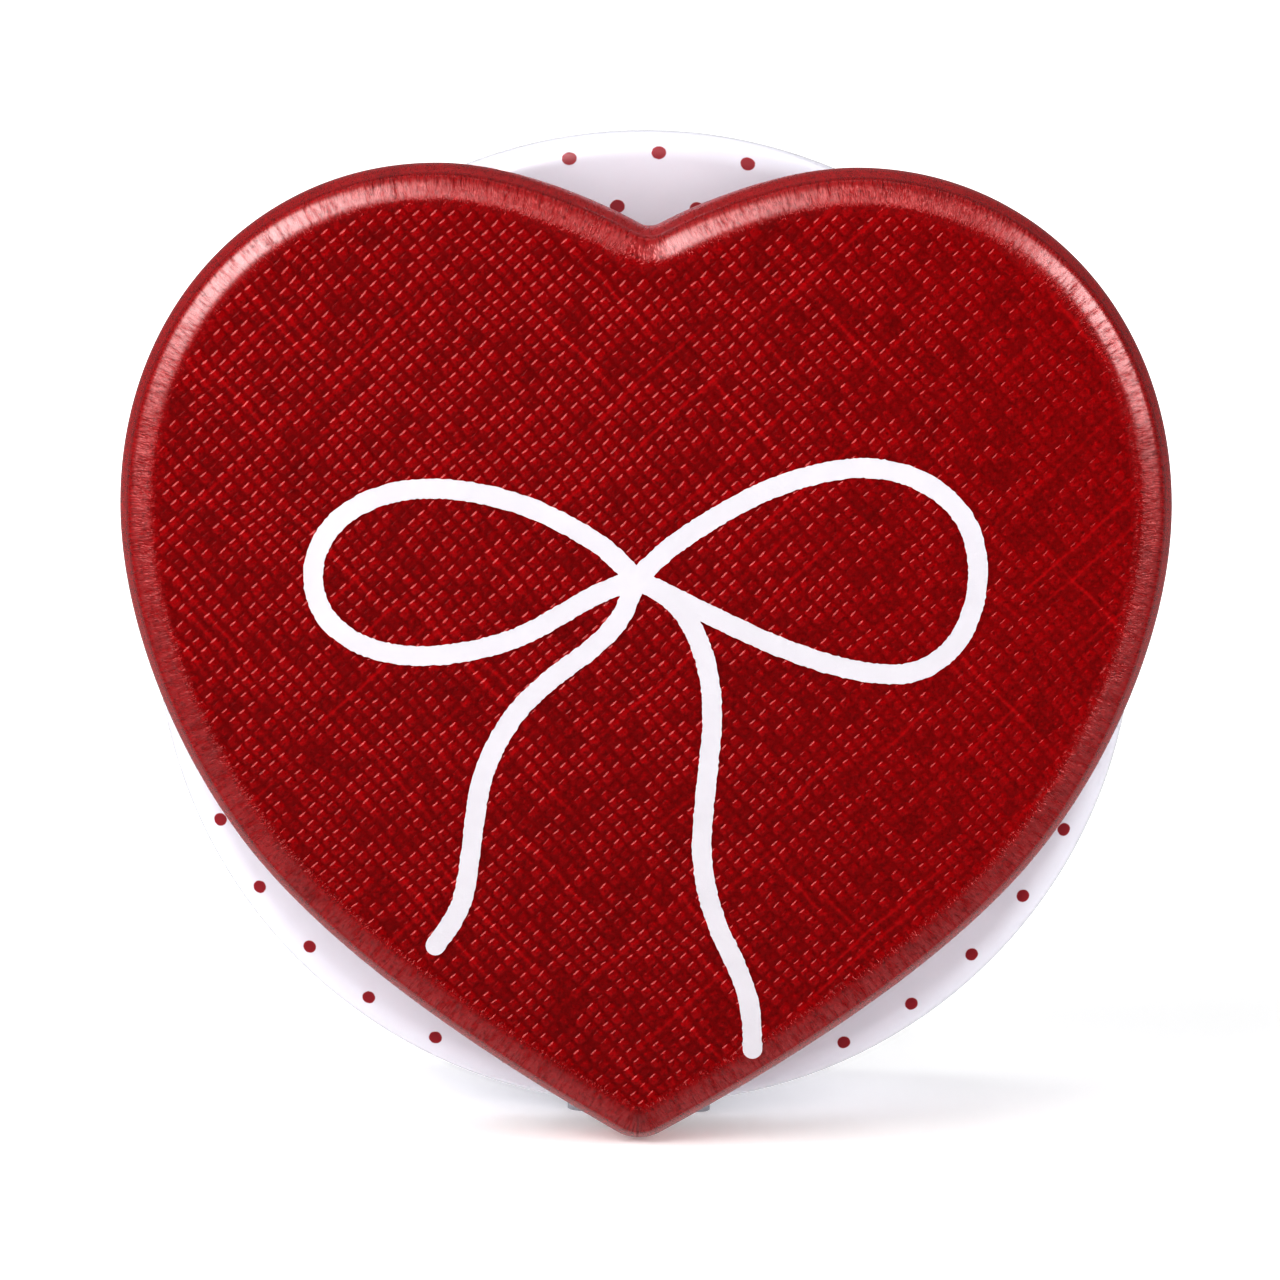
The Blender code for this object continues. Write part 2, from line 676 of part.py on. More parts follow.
def make_bedplate():
    outline = [(-20.5, 17), (25, 17), (25, -36), (19, -42), (-16.5, -42), (-16.5, -20), (-20.5, -20)]
    plate = sheet([outline], inside(0, 0, -BEDPLATE_THICKNESS / 2), BEDPLATE_THICKNESS)
    rail = block(inside(17.6, 17, -0.5), inside(24, 34.2, 6.6))
    holes = [rod(inside(x, down, 1), inside(x, down, -4), SCREW_BORE, 12)
             for x, down in MOVEMENT_SCREWS]
    holes.append(rod(inside(0, 0, 1), inside(0, 0, -4), 3.2 + GAP, 24))
    for side in (-BRIDGE_PILLAR_X, BRIDGE_PILLAR_X):
        holes.append(rod(inside(side, 0, 1), inside(side, 0, -4), TAPPED_BORE, 12))
    for x, down in (CLICK_PIVOT, SPRING_EYE, GOVERNOR_SCREW):
        holes.append(rod(inside(x, down, 1), inside(x, down, -4), SMALL_BORE, 12))
    for down in comb_screw_downs():
        holes.append(rod(inside(COMB_SCREW_X, down, 2.5), inside(COMB_SCREW_X, down, 8),
                         TAPPED_BORE, 12))
    part("bedplate", cut(join(plate, rail), *holes), "cast_zinc")
    for i, (x, down) in enumerate(MOVEMENT_SCREWS):
        screw(f"movement_screw_{i + 1}", inside(x, down, GAP), (0, 1, 0), 2.0, 1.3, 1.0, 5.0)


def make_bridge():
    strap = block(inside(-20.2, -3.5, 14), inside(20.2, 3.5, 15.5))
    bevelled(strap, 0.4, 1)
    pillars = []
    holes = [rod(inside(0, 0, 13), inside(0, 0, 17), 1.5, 16)]
    for side in (-BRIDGE_PILLAR_X, BRIDGE_PILLAR_X):
        pillars.append(rod(inside(side, 0, GAP), inside(side, 0, 14.5), 1.9, 16))
        holes.append(rod(inside(side, 0, -1), inside(side, 0, 8), TAPPED_BORE, 12))
    part("barrel_bridge", cut(join(strap, *pillars), *holes), "brass")
    for i, side in enumerate((-BRIDGE_PILLAR_X, BRIDGE_PILLAR_X)):
        seat = -BEDPLATE_THICKNESS - GAP
        screw(f"bridge_screw_{i + 1}", inside(side, 0, seat), (0, -1, 0), 1.8, 1.2, 0.8, 9.5)


def make_bush():
    profile = [(5.0, 1.2), (5.0, GAP), (3.2, GAP), (3.2, -BEDPLATE_THICKNESS),
               (ARBOR_BORE, -BEDPLATE_THICKNESS), (ARBOR_BORE, 1.2)]
    part("arbor_bush", turned(profile, inside(0, 0, 0), steps=24), "brass")


def make_cylinder_bearing():
    plate = block(inside(-4, 15.8, GAP), inside(4, 16.8, 9.6))
    bore = rod(inside(0, 15, SHAFT_FORWARD), inside(0, 18, SHAFT_FORWARD), SHAFT_BORE, 16)
    part("cylinder_bearing", cut(plate, bore), "brass", smooth=0)


def comb_screw_downs():
    return CYLINDER_TOP + 2.8, CYLINDER_BOTTOM - 2.8


def track_downs():
    middle = (CYLINDER_TOP + CYLINDER_BOTTOM) / 2
    return [middle + (i - (TRACKS - 1) / 2) * TRACK_PITCH for i in range(TRACKS)]


def make_comb():
    """The tuned comb: its teeth get longer towards the bass end."""
    tip = PIN_RADIUS + GAP
    slot = 0.3
    outline = [(24, -16.9)]
    for i, down in enumerate(track_downs()):
        root = 12.5 + 0.22 * i
        half = (TRACK_PITCH - slot) / 2
        outline += [(root, -down + half), (tip, -down + half), (tip, -down - half),
                    (root, -down - half)]
    outline.append((24, -34.3))
    plate = sheet([outline], inside(0, 0, SHAFT_FORWARD + 0.15), 0.9)
    holes = [rod(inside(COMB_SCREW_X, down, 5), inside(COMB_SCREW_X, down, 9), TAPPED_BORE, 12)
             for down in comb_screw_downs()]
    part("comb", cut(plate, *holes), "steel", smooth=0)
    for i, down in enumerate(comb_screw_downs()):
        screw(f"comb_screw_{i + 1}", inside(COMB_SCREW_X, down, 8.1), (0, 1, 0), 2.0, 1.3, 0.8, 4.6)


def make_governor_frame():
    base = block(inside(-16.3, 35.9, GAP), inside(3, 41.4, 1.3))
    inner = block(inside(-9.7, 35.9, 0.8), inside(2.5, 36.5, 10.2))
    outer = block(inside(-9.1, 40.6, 0.9), inside(-2.5, 41.4, 17.0))
    arm = block(inside(-15.2, 37, 16.2), inside(-2.6, 41.3, 17.2))
    cylinder_hole = rod(inside(0, 35, SHAFT_FORWARD), inside(0, 38, SHAFT_FORWARD), SHAFT_BORE, 12)
    arbor_hole = rod(inside(GOVERNOR_X, 35, SHAFT_FORWARD), inside(GOVERNOR_X, 43, SHAFT_FORWARD),
                     0.8, 12)
    fan_hole = rod(inside(WORM_X, GOVERNOR_DOWN, 0), inside(WORM_X, GOVERNOR_DOWN, 19), 0.75, 12)
    screw_hole = rod(inside(*GOVERNOR_SCREW, 0), inside(*GOVERNOR_SCREW, 2), SMALL_BORE, 12)
    frame = cut(join(base, inner, outer, arm), cylinder_hole, arbor_hole, fan_hole, screw_hole)
    part("governor_frame", frame, "brass", smooth=0)
    screw("governor_screw", inside(*GOVERNOR_SCREW, 1.6), (0, 1, 0), 1.5, 1.0, 0.7, 3.4)


# ---------------------------------------------------------------- gear train


def make_barrel():
    axis = pivot("barrel_turn", inside(0, 0, 3))
    profile = [(12.2, 12.4), (12.2, 3.4), (15.5, 3.4), (15.5, 2.2), (ARBOR_BORE, 2.2),
               (ARBOR_BORE, 3.2), (11.4, 3.2), (11.4, 12.4)]
    cup = turned(profile, inside(0, 0, 0), steps=40)
    teeth = bmesh.new()
    pitch = math.pi * CROWN_MODULE
    for i in range(CROWN_TEETH):
        made = bmesh.ops.create_cube(teeth, size=1)["verts"]
        for corner in made:
            top = corner.co.z > 0
            side = math.copysign(0.5 * pitch * (0.22 if top else 0.54), corner.co.x)
            reach = 15.3 if corner.co.y > 0 else 13.3
            corner.co = Vector((side, reach, 4.7 if top else 3.1)) * MM
        turn = Matrix.Rotation(2 * math.pi * i / CROWN_TEETH, 3, "Z")
        bmesh.ops.rotate(teeth, verts=made, cent=(0, 0, 0), matrix=turn)
    crown = from_bmesh(teeth, inside(0, 0, 0), FORWARD)
    part("spring_barrel", join(cup, crown), "brass", axis)

    lid = [(12.2, 13.5), (12.2, 12.7), (ARBOR_BORE, 12.7), (ARBOR_BORE, 13.5)]
    part("barrel_cover", turned(lid, inside(0, 0, 0), steps=32), "brass", axis)

    turns = 5
    steps = 18
    first, last = 2.9, 10.8
    line = []
    for i in range(turns * steps + 1):
        angle = 2 * math.pi * i / steps
        reach = first + (last - first) * i / (turns * steps)
        line.append((reach * math.cos(angle), reach * math.sin(angle)))
    strip = sheet([stroke(line, 0.35, round_ends=False)], inside(0, 0, 7.95), 8.6)
    part("mainspring", strip, "steel", axis)


def upright_gear(outline, bore, top, bottom, x):
    """A gear on an upright shaft, between two distances below the drum's axis."""
    return sheet([outline, circle(bore, 12)], inside(x, (top + bottom) / 2, SHAFT_FORWARD),
                 bottom - top, UP)


def make_cylinder():
    axis = pivot("cylinder_turn", inside(0, 25, SHAFT_FORWARD))
    middle = (CYLINDER_TOP + CYLINDER_BOTTOM) / 2
    half = (CYLINDER_BOTTOM - CYLINDER_TOP) / 2
    profile = [(CYLINDER_RADIUS, half), (CYLINDER_RADIUS, -half), (SHAFT_BORE, -half),
               (SHAFT_BORE, half)]
    place = inside(0, middle, SHAFT_FORWARD)
    drum = turned(profile, place, UP, steps=28)
    tune = random.Random(18)
    pins = bmesh.new()
    for down in track_downs():
        start = tune.uniform(0, 360)
        for angle in (start, start + tune.uniform(100, 240)):
            made = bmesh.ops.create_cube(pins, size=1)["verts"]
            size = Vector((PIN_RADIUS - 5.4, 0.4, 0.4)) * MM
            bmesh.ops.scale(pins, vec=size, verts=made)
            bmesh.ops.translate(pins, vec=Vector(((PIN_RADIUS + 5.4) / 2, 0, middle - down)) * MM,
                                verts=made)
            bmesh.ops.rotate(pins, verts=made, cent=(0, 0, 0),
                             matrix=Matrix.Rotation(math.radians(angle), 3, "Z"))
    part("cylinder", join(drum, from_bmesh(pins, place)), "brass", axis)

    shaft = rod(inside(0, 12.9, SHAFT_FORWARD), inside(0, 37.3, SHAFT_FORWARD), SHAFT_RADIUS, 16)
    part("cylinder_shaft", shaft, "steel", axis)

    gap_to_crown = math.pi / 2 + math.pi / PINION_TEETH
    leaves = gear_outline(PINION_TEETH, CROWN_MODULE, gap_to_crown, 0.5, 0.8, 0.34)
    part("cylinder_pinion", upright_gear(leaves, SHAFT_BORE, 13.6, 15.2, 0), "steel", axis, smooth=0)

    teeth = gear_outline(WHEEL_TEETH, TRAIN_MODULE, math.pi, 0.25, 0.35)
    part("cylinder_wheel", upright_gear(teeth, SHAFT_BORE, 34.6, 35.6, 0), "brass", axis, smooth=0)


def make_governor():
    axis = pivot("governor_turn", inside(GOVERNOR_X, 38, SHAFT_FORWARD))
    gap_to_wheel = math.pi / GOVERNOR_PINION_TEETH
    leaves = gear_outline(GOVERNOR_PINION_TEETH, TRAIN_MODULE, gap_to_wheel, 0.25, 0.35, 0.34)
    middle = inside(GOVERNOR_X, 35.1, SHAFT_FORWARD)
    pinion = sheet([leaves], middle, 1.0, UP)
    arbor = rod(inside(GOVERNOR_X, 34.2, SHAFT_FORWARD), inside(GOVERNOR_X, 41.9, SHAFT_FORWARD),
                0.5, 12)
    part("governor_pinion", join(pinion, arbor), "steel", axis, smooth=0)

    teeth = gear_outline(GOVERNOR_TEETH, WORM_MODULE, math.pi, 0.15, 0.5, 0.34)
    wheel = upright_gear(teeth, 0.8, GOVERNOR_DOWN - 0.4, GOVERNOR_DOWN + 0.4, GOVERNOR_X)
    part("governor_wheel", wheel, "brass", axis, smooth=0)


def make_fan():
    axis = pivot("fan_turn", inside(WORM_X, GOVERNOR_DOWN, SHAFT_FORWARD))
    steps = 12
    turns = 3
    thread_radius = 0.3
    thread_centre = 1.22
    core_radius = 1.0
    line = []
    for i in range(turns * steps + 1):
        angle = 2 * math.pi * i / steps
        y = WORM_PITCH * (i / steps - turns / 2)
        line.append((thread_centre * math.cos(angle), y, thread_centre * math.sin(angle)))
    centre = inside(WORM_X, GOVERNOR_DOWN, SHAFT_FORWARD)
    thread = wire(line, thread_radius, 1, centre)
    profile = [(0, 17), (0.45, 17), (0.45, 10.4), (core_radius, 10.4), (core_radius, 4.2),
               (0.45, 4.2), (0.45, 0.8), (0, 0.8)]
    core = turned(profile, inside(WORM_X, GOVERNOR_DOWN, 0), steps=16)
    part("fan_worm", join(core, thread), "steel", axis)

    hub = rod(inside(WORM_X, GOVERNOR_DOWN, 12.5), inside(WORM_X, GOVERNOR_DOWN, 15.9), 1.3, 16)
    blades = block(inside(WORM_X - FAN_RADIUS, GOVERNOR_DOWN - 0.2, 12.7),
                   inside(WORM_X + FAN_RADIUS, GOVERNOR_DOWN + 0.2, 15.7))
    bore = rod(inside(WORM_X, GOVERNOR_DOWN, 12), inside(WORM_X, GOVERNOR_DOWN, 16.5), 0.75, 12)
    part("governor_fan", cut(join(hub, blades), bore), "grey_plastic", axis)


def make_stop():
    slide = pivot("stop_slide", inside(SLIDER_X, SLIDER_DOWN, -5))
    outer = forward_of(COVER_REAR) - GAP
    knob = block(inside(SLIDER_X - 3, SLIDER_DOWN - 2.6, outer),
                 inside(SLIDER_X + 3, SLIDER_DOWN + 2.6, outer - 1.8))
    bevelled(knob, 0.5)
    neck = block(inside(SLIDER_X - 1.5, SLIDER_DOWN - 1.2, outer - 0.5),
                 inside(SLIDER_X + 1.5, SLIDER_DOWN + 1.2, forward_of(COVER_INNER)))
    part("stop_slider", join(knob, neck), "grey_plastic", slide)

    inner = forward_of(COVER_INNER) + GAP
    plate = block(inside(SLIDER_X - 2.4, SLIDER_DOWN - 2, inner),
                  inside(SLIDER_X + 2.4, SLIDER_DOWN + 2, inner + 0.8))
    pin = rod(inside(SLIDER_X, SLIDER_DOWN, inner + 0.4), inside(SLIDER_X, SLIDER_DOWN, 15), 0.4, 10)
    part("stop_wire", join(plate, pin), "steel", slide)


clear_scene()
PARTS = new_collection("music_box")
CUTTERS = new_collection("cutters")
make_materials()
make_heart()
make_bow()
make_mounting()
make_drum()
make_rear_cover()
make_foot()
make_stand()
make_winder()
make_click()
make_bedplate()
make_bridge()
make_bush()
make_cylinder_bearing()
make_comb()
make_governor_frame()
make_barrel()
make_cylinder()
make_governor()
make_fan()
make_stop()
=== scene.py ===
"""Fine shapes and finishes for a heart-faced wind-up music box, laid out as a Blender add-on.

Shapes are worked out in millimetres: x to the right, depth behind the heart's face, and z up from
the table. A finish is a procedural material that reads the piece's own coordinates.
"""

import json
import math
import random

import bmesh
import bpy
from bpy.props import FloatProperty, FloatVectorProperty, IntProperty, PointerProperty
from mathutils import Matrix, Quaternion, Vector


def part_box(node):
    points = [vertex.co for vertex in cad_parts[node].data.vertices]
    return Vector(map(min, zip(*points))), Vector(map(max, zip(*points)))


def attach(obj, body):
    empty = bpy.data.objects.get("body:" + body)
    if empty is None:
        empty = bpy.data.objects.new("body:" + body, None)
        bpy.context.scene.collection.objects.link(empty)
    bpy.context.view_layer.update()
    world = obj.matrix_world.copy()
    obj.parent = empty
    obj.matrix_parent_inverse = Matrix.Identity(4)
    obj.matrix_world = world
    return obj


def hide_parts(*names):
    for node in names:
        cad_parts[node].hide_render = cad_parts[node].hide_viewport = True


bl_info = {
    "name": "Wind-up Music Box",
    "version": (1, 0, 0),
    "blender": (4, 5, 0),
    "location": "3D View > Sidebar > Music Box",
    "description": "Makes the leatherette heart, dotted drum, key, stand and finishes of a music box",
    "category": "Object",
}

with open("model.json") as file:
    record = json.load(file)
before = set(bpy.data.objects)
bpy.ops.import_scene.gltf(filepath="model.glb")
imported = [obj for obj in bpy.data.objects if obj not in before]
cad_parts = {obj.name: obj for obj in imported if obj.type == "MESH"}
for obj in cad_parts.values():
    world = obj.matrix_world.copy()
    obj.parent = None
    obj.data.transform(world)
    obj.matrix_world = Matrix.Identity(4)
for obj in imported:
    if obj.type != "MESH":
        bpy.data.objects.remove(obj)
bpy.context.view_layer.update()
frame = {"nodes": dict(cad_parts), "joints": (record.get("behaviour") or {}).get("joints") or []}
JOINTS = {joint["name"]: joint for joint in frame["joints"]}

MM = 0.001
FACE_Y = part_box("heart_cover")[0].y
HEART_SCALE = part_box("heart_cover")[1].x / 53.05 / MM
HEART_DEPTH = (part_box("heart_cover")[1].y - FACE_Y) / MM
SHELL_LOW, SHELL_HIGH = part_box("drum_front_shell")
DRUM_RADIUS = (SHELL_HIGH.x - SHELL_LOW.x) / 2 / MM
DRUM_Z = (SHELL_HIGH.z + SHELL_LOW.z) / 2 / MM
DRUM_FRONT = (SHELL_LOW.y - FACE_Y) / MM
DRUM_REAR = (SHELL_HIGH.y - FACE_Y) / MM
PIVOT = Vector(JOINTS["stand_fold"]["pos_m"])
COVER_REAR = (JOINTS["key_turn"]["pos_m"][1] - FACE_Y) / MM
KEY_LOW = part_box("winding_key")[0]
GRIP_LOW, GRIP_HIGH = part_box("stand_grip")
DOT_RING = 48.5


# ---------------------------------------------------------------- settings


def length(name, description, default):
    return FloatProperty(name=name, description=description, default=default, min=0.0,
                         subtype="DISTANCE", unit="LENGTH")


def colour(name, description, default):
    return FloatVectorProperty(name=name, description=description, default=default, size=3,
                               min=0.0, max=1.0, subtype="COLOR")


class HeartSettings(bpy.types.PropertyGroup):
    """Sizes and colours of the heart."""

    edge_radius: length("Edge radius", "Radius of the padded edge round the face", 4.2 * MM)
    hem_width: length("Hem width", "Leatherette turned in over the back of the board", 8.6 * MM)
    weave_pitch: length("Weave pitch", "Distance between two embossed threads", 1.25 * MM)
    # deep red is the leatherette's darkest tone, and is also painted into the weave's hollows as shade
    deep_red: colour("Deep red", "Leatherette in the weave's hollows", (0.1, 0.0, 0.001))
    mid_red: colour("Mid red", "Leatherette over most of the face", (0.265, 0.0, 0.003))
    # thread red is the colour of the brightest threads, and is also painted on the padded edge as sheen
    thread_and_sheen_red: colour("Thread red", "Leatherette on its brightest threads", (0.45, 0.002, 0.006))
    line_width: length("Bow line width", "Width of the printed bow's line", 2.0 * MM)
    ink: colour("Bow ink", "Colour of the printed bow", (0.65, 0.625, 0.665))


class DrumSettings(bpy.types.PropertyGroup):
    """Sizes and colours of the drum case."""

    lacquer: colour("Lacquer", "Milky colour of the drum", (0.78, 0.765, 0.835))
    dot: colour("Dot", "Colour of the printed dots", (0.3, 0.004, 0.016))
    dot_diameter: length("Dot diameter", "Diameter of a printed dot", 1.35 * MM)
    dot_rows: length("Dot row spacing", "Distance between rows of dots", 5.4 * MM)
    dot_angle: FloatProperty(name="Dot angle", description="Angle between dots of a row",
                             default=math.radians(9.62), subtype="ANGLE", unit="ROTATION")
    sides: IntProperty(name="Sides", description="Facets round a turned piece", default=160, min=24)


class MetalSettings(bpy.types.PropertyGroup):
    """Colours of the metal pieces."""

    nickel: colour("Nickel", "Key and wire stand", (0.72, 0.71, 0.69))
    steel: colour("Steel", "Screws, comb and shafts", (0.52, 0.53, 0.55))
    brass: colour("Brass", "Barrel, cylinder, wheels and bridges", (0.78, 0.55, 0.22))
    zinc: colour("Zinc", "Cast bedplate", (0.5, 0.51, 0.53))


class StageSettings(bpy.types.PropertyGroup):
    """Camera and studio light."""

    lens: FloatProperty(name="Lens", description="Focal length", default=120.0, unit="CAMERA")
    distance: length("Distance", "From the camera to the heart's face", 0.4267)
    elevation: FloatProperty(name="Elevation", description="Angle that the camera looks down",
                             default=math.radians(6.0), subtype="ANGLE", unit="ROTATION")
    roll: FloatProperty(name="Roll", description="Turn of the camera about its own line of sight",
                        default=math.radians(0.68), subtype="ANGLE", unit="ROTATION")
    sweep: colour("Sweep", "Colour of the studio floor", (0.9, 0.9, 0.9))


# ---------------------------------------------------------------- shader nodes


class Socket:
    """A shader node's output. Arithmetic on it adds Math nodes."""

    def __init__(self, graph, link):
        self.graph = graph
        self.link = link

    def math(self, operation, *others):
        return self.graph.node("ShaderNodeMath", {"operation": operation}, (self, *others))

    def __add__(self, other):
        return self.math("ADD", other)

    def __sub__(self, other):
        return self.math("SUBTRACT", other)

    def __mul__(self, other):
        return self.math("MULTIPLY", other)

    def __truediv__(self, other):
        return self.math("DIVIDE", other)

    def __rsub__(self, other):
        return self.graph.node("ShaderNodeMath", {"operation": "SUBTRACT"}, (other, self))

    __radd__ = __add__
    __rmul__ = __mul__

    def between(self, low, high):
        """0 below low, 1 above high, and a smooth step between them."""
        return self.graph.node("ShaderNodeMapRange", {"interpolation_type": "SMOOTHSTEP"},
                               {"Value": self, "From Min": low, "From Max": high})


class Graph:
    """A tree of shader nodes that is built up one node at a time."""

    def __init__(self, tree):
        self.tree = tree

    def node(self, kind, settings=None, inputs=(), output=0):
        """Add a node with its settings, and the values or links of its sockets."""
        node = self.tree.nodes.new(kind)
        for name, value in (settings or {}).items():
            setattr(node, name, value)
        pairs = inputs.items() if isinstance(inputs, dict) else enumerate(inputs)
        for key, value in pairs:
            if isinstance(value, Socket):
                self.tree.links.new(value.link, node.inputs[key])
            else:
                node.inputs[key].default_value = value
        return Socket(self, node.outputs[output])


class Finish(Graph):
    """A procedural material."""

    def __init__(self, name, **constants):
        self.material = bpy.data.materials.new(name)
        self.material.use_nodes = True
        super().__init__(self.material.node_tree)
        self.shader = self.tree.nodes["Principled BSDF"]
        for name, value in constants.items():
            socket = name.replace("_", " ").title().replace("Ior", "IOR")
            self.shader.inputs[socket].default_value = value

    def coordinates(self):
        """The point's own place, in metres."""
        return self.node("ShaderNodeTexCoord", output="Object")

    def axes(self, vector=None):
        """Three sockets, for right, depth and up, in millimetres unless a vector is given."""
        if vector is None:
            vector = self.vector("SCALE", self.coordinates(), scale=1 / MM)
        return [self.node("ShaderNodeSeparateXYZ", None, (vector,), output=i) for i in range(3)]

    def vector(self, operation, *vectors, scale=None):
        inputs = dict(enumerate(vectors))
        if scale is not None:
            inputs["Scale"] = scale
        return self.node("ShaderNodeVectorMath", {"operation": operation}, inputs)

    def point(self, x, y):
        return self.node("ShaderNodeCombineXYZ", None, (x, y))

    def normal(self):
        return self.axes(self.node("ShaderNodeTexCoord", output="Normal"))

    def attribute(self, name):
        return self.node("ShaderNodeAttribute", {"attribute_name": name}, output="Fac")

    def noise(self, size, detail=3.0, roughness=0.55, where=None, stretch=(1, 1, 1)):
        """Soft noise from 0 to 1, whose blotches are about size millimetres across."""
        if where is None:
            where = self.vector("SCALE", self.coordinates(), scale=1 / MM)
        where = self.vector("MULTIPLY", where, stretch)
        return self.node("ShaderNodeTexNoise", None,
                         {"Vector": where, "Scale": 1 / size, "Detail": detail, "Roughness": roughness})

    def random(self, x, y=0.0):
        """A number from 0 to 1 that is the same all over one cell."""
        return self.node("ShaderNodeTexWhiteNoise", {"noise_dimensions": "2D"},
                         {"Vector": self.point(x, y)})

    def mix(self, factor, first, second):
        """A colour between two others."""
        ends = [end if isinstance(end, Socket) else (*end, 1.0) for end in (first, second)]
        return self.node("ShaderNodeMix", {"data_type": "RGBA", "clamp_factor": True},
                         {0: factor, 6: ends[0], 7: ends[1]}, output=2)

    def feed(self, name, socket):
        self.tree.links.new(socket.link, self.shader.inputs[name])

    def bump(self, height, distance):
        """Raise the surface by height, in units of distance in metres."""
        self.feed("Normal", self.node("ShaderNodeBump", None, {"Distance": distance, "Height": height}))

    def done(self):
        return self.material


# ---------------------------------------------------------------- finishes


def weave(finish, pitch):
    """The embossed cloth pattern: its relief, each cell's own number, and slubbed threads.

    Each cell is a low pad with one steep side, up and to the left, which catches the light.
    """
    across, _, up = finish.axes()
    wander = finish.noise(14.0, 2.0) - 0.5
    drift = finish.noise(3.5, 2.0) - 0.5
    slant = math.cos(math.radians(43.0)), math.sin(math.radians(43.0))
    column = (across * slant[0] + up * slant[1] + wander * 1.6 + drift * 0.5) / (pitch * 1.06)
    row = (up * slant[0] - across * slant[1] + wander * 1.2 + drift * 0.35) / (pitch * 0.94)
    column_cell = column.math("FLOOR")
    row_cell = row.math("FLOOR")
    cell = finish.random(row_cell, column_cell)
    step_row = row - row_cell
    step_column = column - column_cell
    steep = 1 - step_row.between(0.72, 0.93)
    pad = step_row.between(0.04, 0.4) * steep
    pad = pad * step_column.between(0.0, 0.34) * (1 - step_column.between(0.6, 1.0))
    relief = pad * (cell.between(0.0, 0.8) * 0.75 + 0.25)
    row_pick = finish.random(row_cell, 7.5).between(0.62, 0.9)
    column_pick = finish.random(column_cell, 31.5).between(0.62, 0.9)
    row_patch = finish.noise(9.0, 1.0, where=finish.point(column * 0.55, row_cell * 9.0))
    column_patch = finish.noise(9.0, 1.0, where=finish.point(row * 0.55, column_cell * 9.0))
    row_line = (1 - (step_row - 0.5).math("ABSOLUTE").between(0.0, 0.22)) * row_pick
    column_line = (1 - (step_column - 0.5).math("ABSOLUTE").between(0.0, 0.22)) * column_pick
    slub = row_line * row_patch.between(0.45, 0.62) + column_line * column_patch.between(0.45, 0.62)
    return relief, cell, slub


def leatherette(settings):
    """Red leatherette with an embossed weave that fades where it is pulled over the edge, with painted
    shade in the weave's hollows and a painted sheen on the padded edge.
    """
    finish = Finish("embossed_leatherette", specular_ior_level=0.45,
                    specular_tint=(1.0, 0.44, 0.42, 1.0), coat_roughness=0.3)
    relief, cell, slub = weave(finish, settings.weave_pitch / MM)
    across, depth, _ = finish.axes()
    press = 1 - across.between(-5.0, 50.0) * 0.5
    facing = finish.normal()[1] * -1.0
    flat = facing.between(0.86, 0.995)
    inset = finish.attribute("edge_inset")
    calm = inset.between(3.2, 5.0)
    run = finish.attribute("edge_run")
    creases = finish.noise(0.58, 3.0, 0.66, where=finish.point(run, inset * 0.5 + depth * 0.5))
    grain = finish.noise(0.17, 2.0, 0.65)
    fuzz = finish.noise(0.4, 4.0, 0.75)
    mottle = finish.noise(4.0, 4.0, 0.62)

    shade = finish.mix(mottle.between(0.05, 0.5), settings.deep_red, settings.mid_red)
    shade = finish.mix((1 - cell).between(0.45, 1.0) * calm * 0.35, shade, settings.deep_red)
    shade = finish.mix(fuzz.between(0.52, 0.68) * (calm * 0.3 + 0.25), shade, settings.thread_and_sheen_red)
    shade = finish.mix((1 - fuzz).between(0.5, 0.66) * 0.7, shade, settings.deep_red)
    # painted shade: the weave's hollows between the pads are darkened towards deep red, less towards the
    # right
    painted_hollow_shade = (1 - relief).between(0.6, 1.0) * calm * (press * 0.35 + 0.15)
    shade = finish.mix(painted_hollow_shade, shade, settings.deep_red)
    shade = finish.mix(slub * 0.45 * flat, shade, settings.thread_and_sheen_red)
    # painted sheen: the padded edge turns lighter red in streaks along its creases, standing in for light
    # reflected there
    painted_rim_sheen = (1 - flat) * creases.between(0.4, 0.75) * 0.35
    finish.feed("Base Color", finish.mix(painted_rim_sheen, shade, settings.thread_and_sheen_red))

    polish = (cell * -0.06 + 0.2) * flat + (creases * 0.16 + 0.17) * (1 - flat)
    finish.feed("Roughness", polish + fuzz * 0.06)
    bend = facing.between(0.4, 0.66)
    slope = facing.between(0.7, 0.84) * (1 - facing.between(0.93, 0.995))
    finish.feed("Coat Weight", slope * creases.between(0.25, 0.6) * 0.95)
    height = relief * 0.78 * flat * (calm * 0.85 + 0.15) * press + grain * 0.04 + fuzz * 0.08
    padded = (1 - flat).math("MAXIMUM", 1 - inset.between(3.5, 4.7))
    height = height + creases * padded * (bend * 2.9 + 0.3)
    finish.bump(height + slub * 0.06, 0.16 * MM)
    return finish.done()


def print_ink(settings):
    """Thick screen-printed ink that still shows a little of the weave under it."""
    finish = Finish("print_ink", specular_ior_level=0.4)
    relief = weave(finish, settings.weave_pitch / MM)[0]
    cloud = finish.noise(6.0, 3.0)
    tint = tuple(channel * 0.965 for channel in settings.ink)
    finish.feed("Base Color", finish.mix(cloud.between(0.35, 0.7), tint, settings.ink))
    finish.feed("Roughness", cloud * 0.12 + 0.42)
    finish.bump(relief * 0.25 + finish.noise(0.4, 3.0) * 0.5, 0.05 * MM)
    return finish.done()


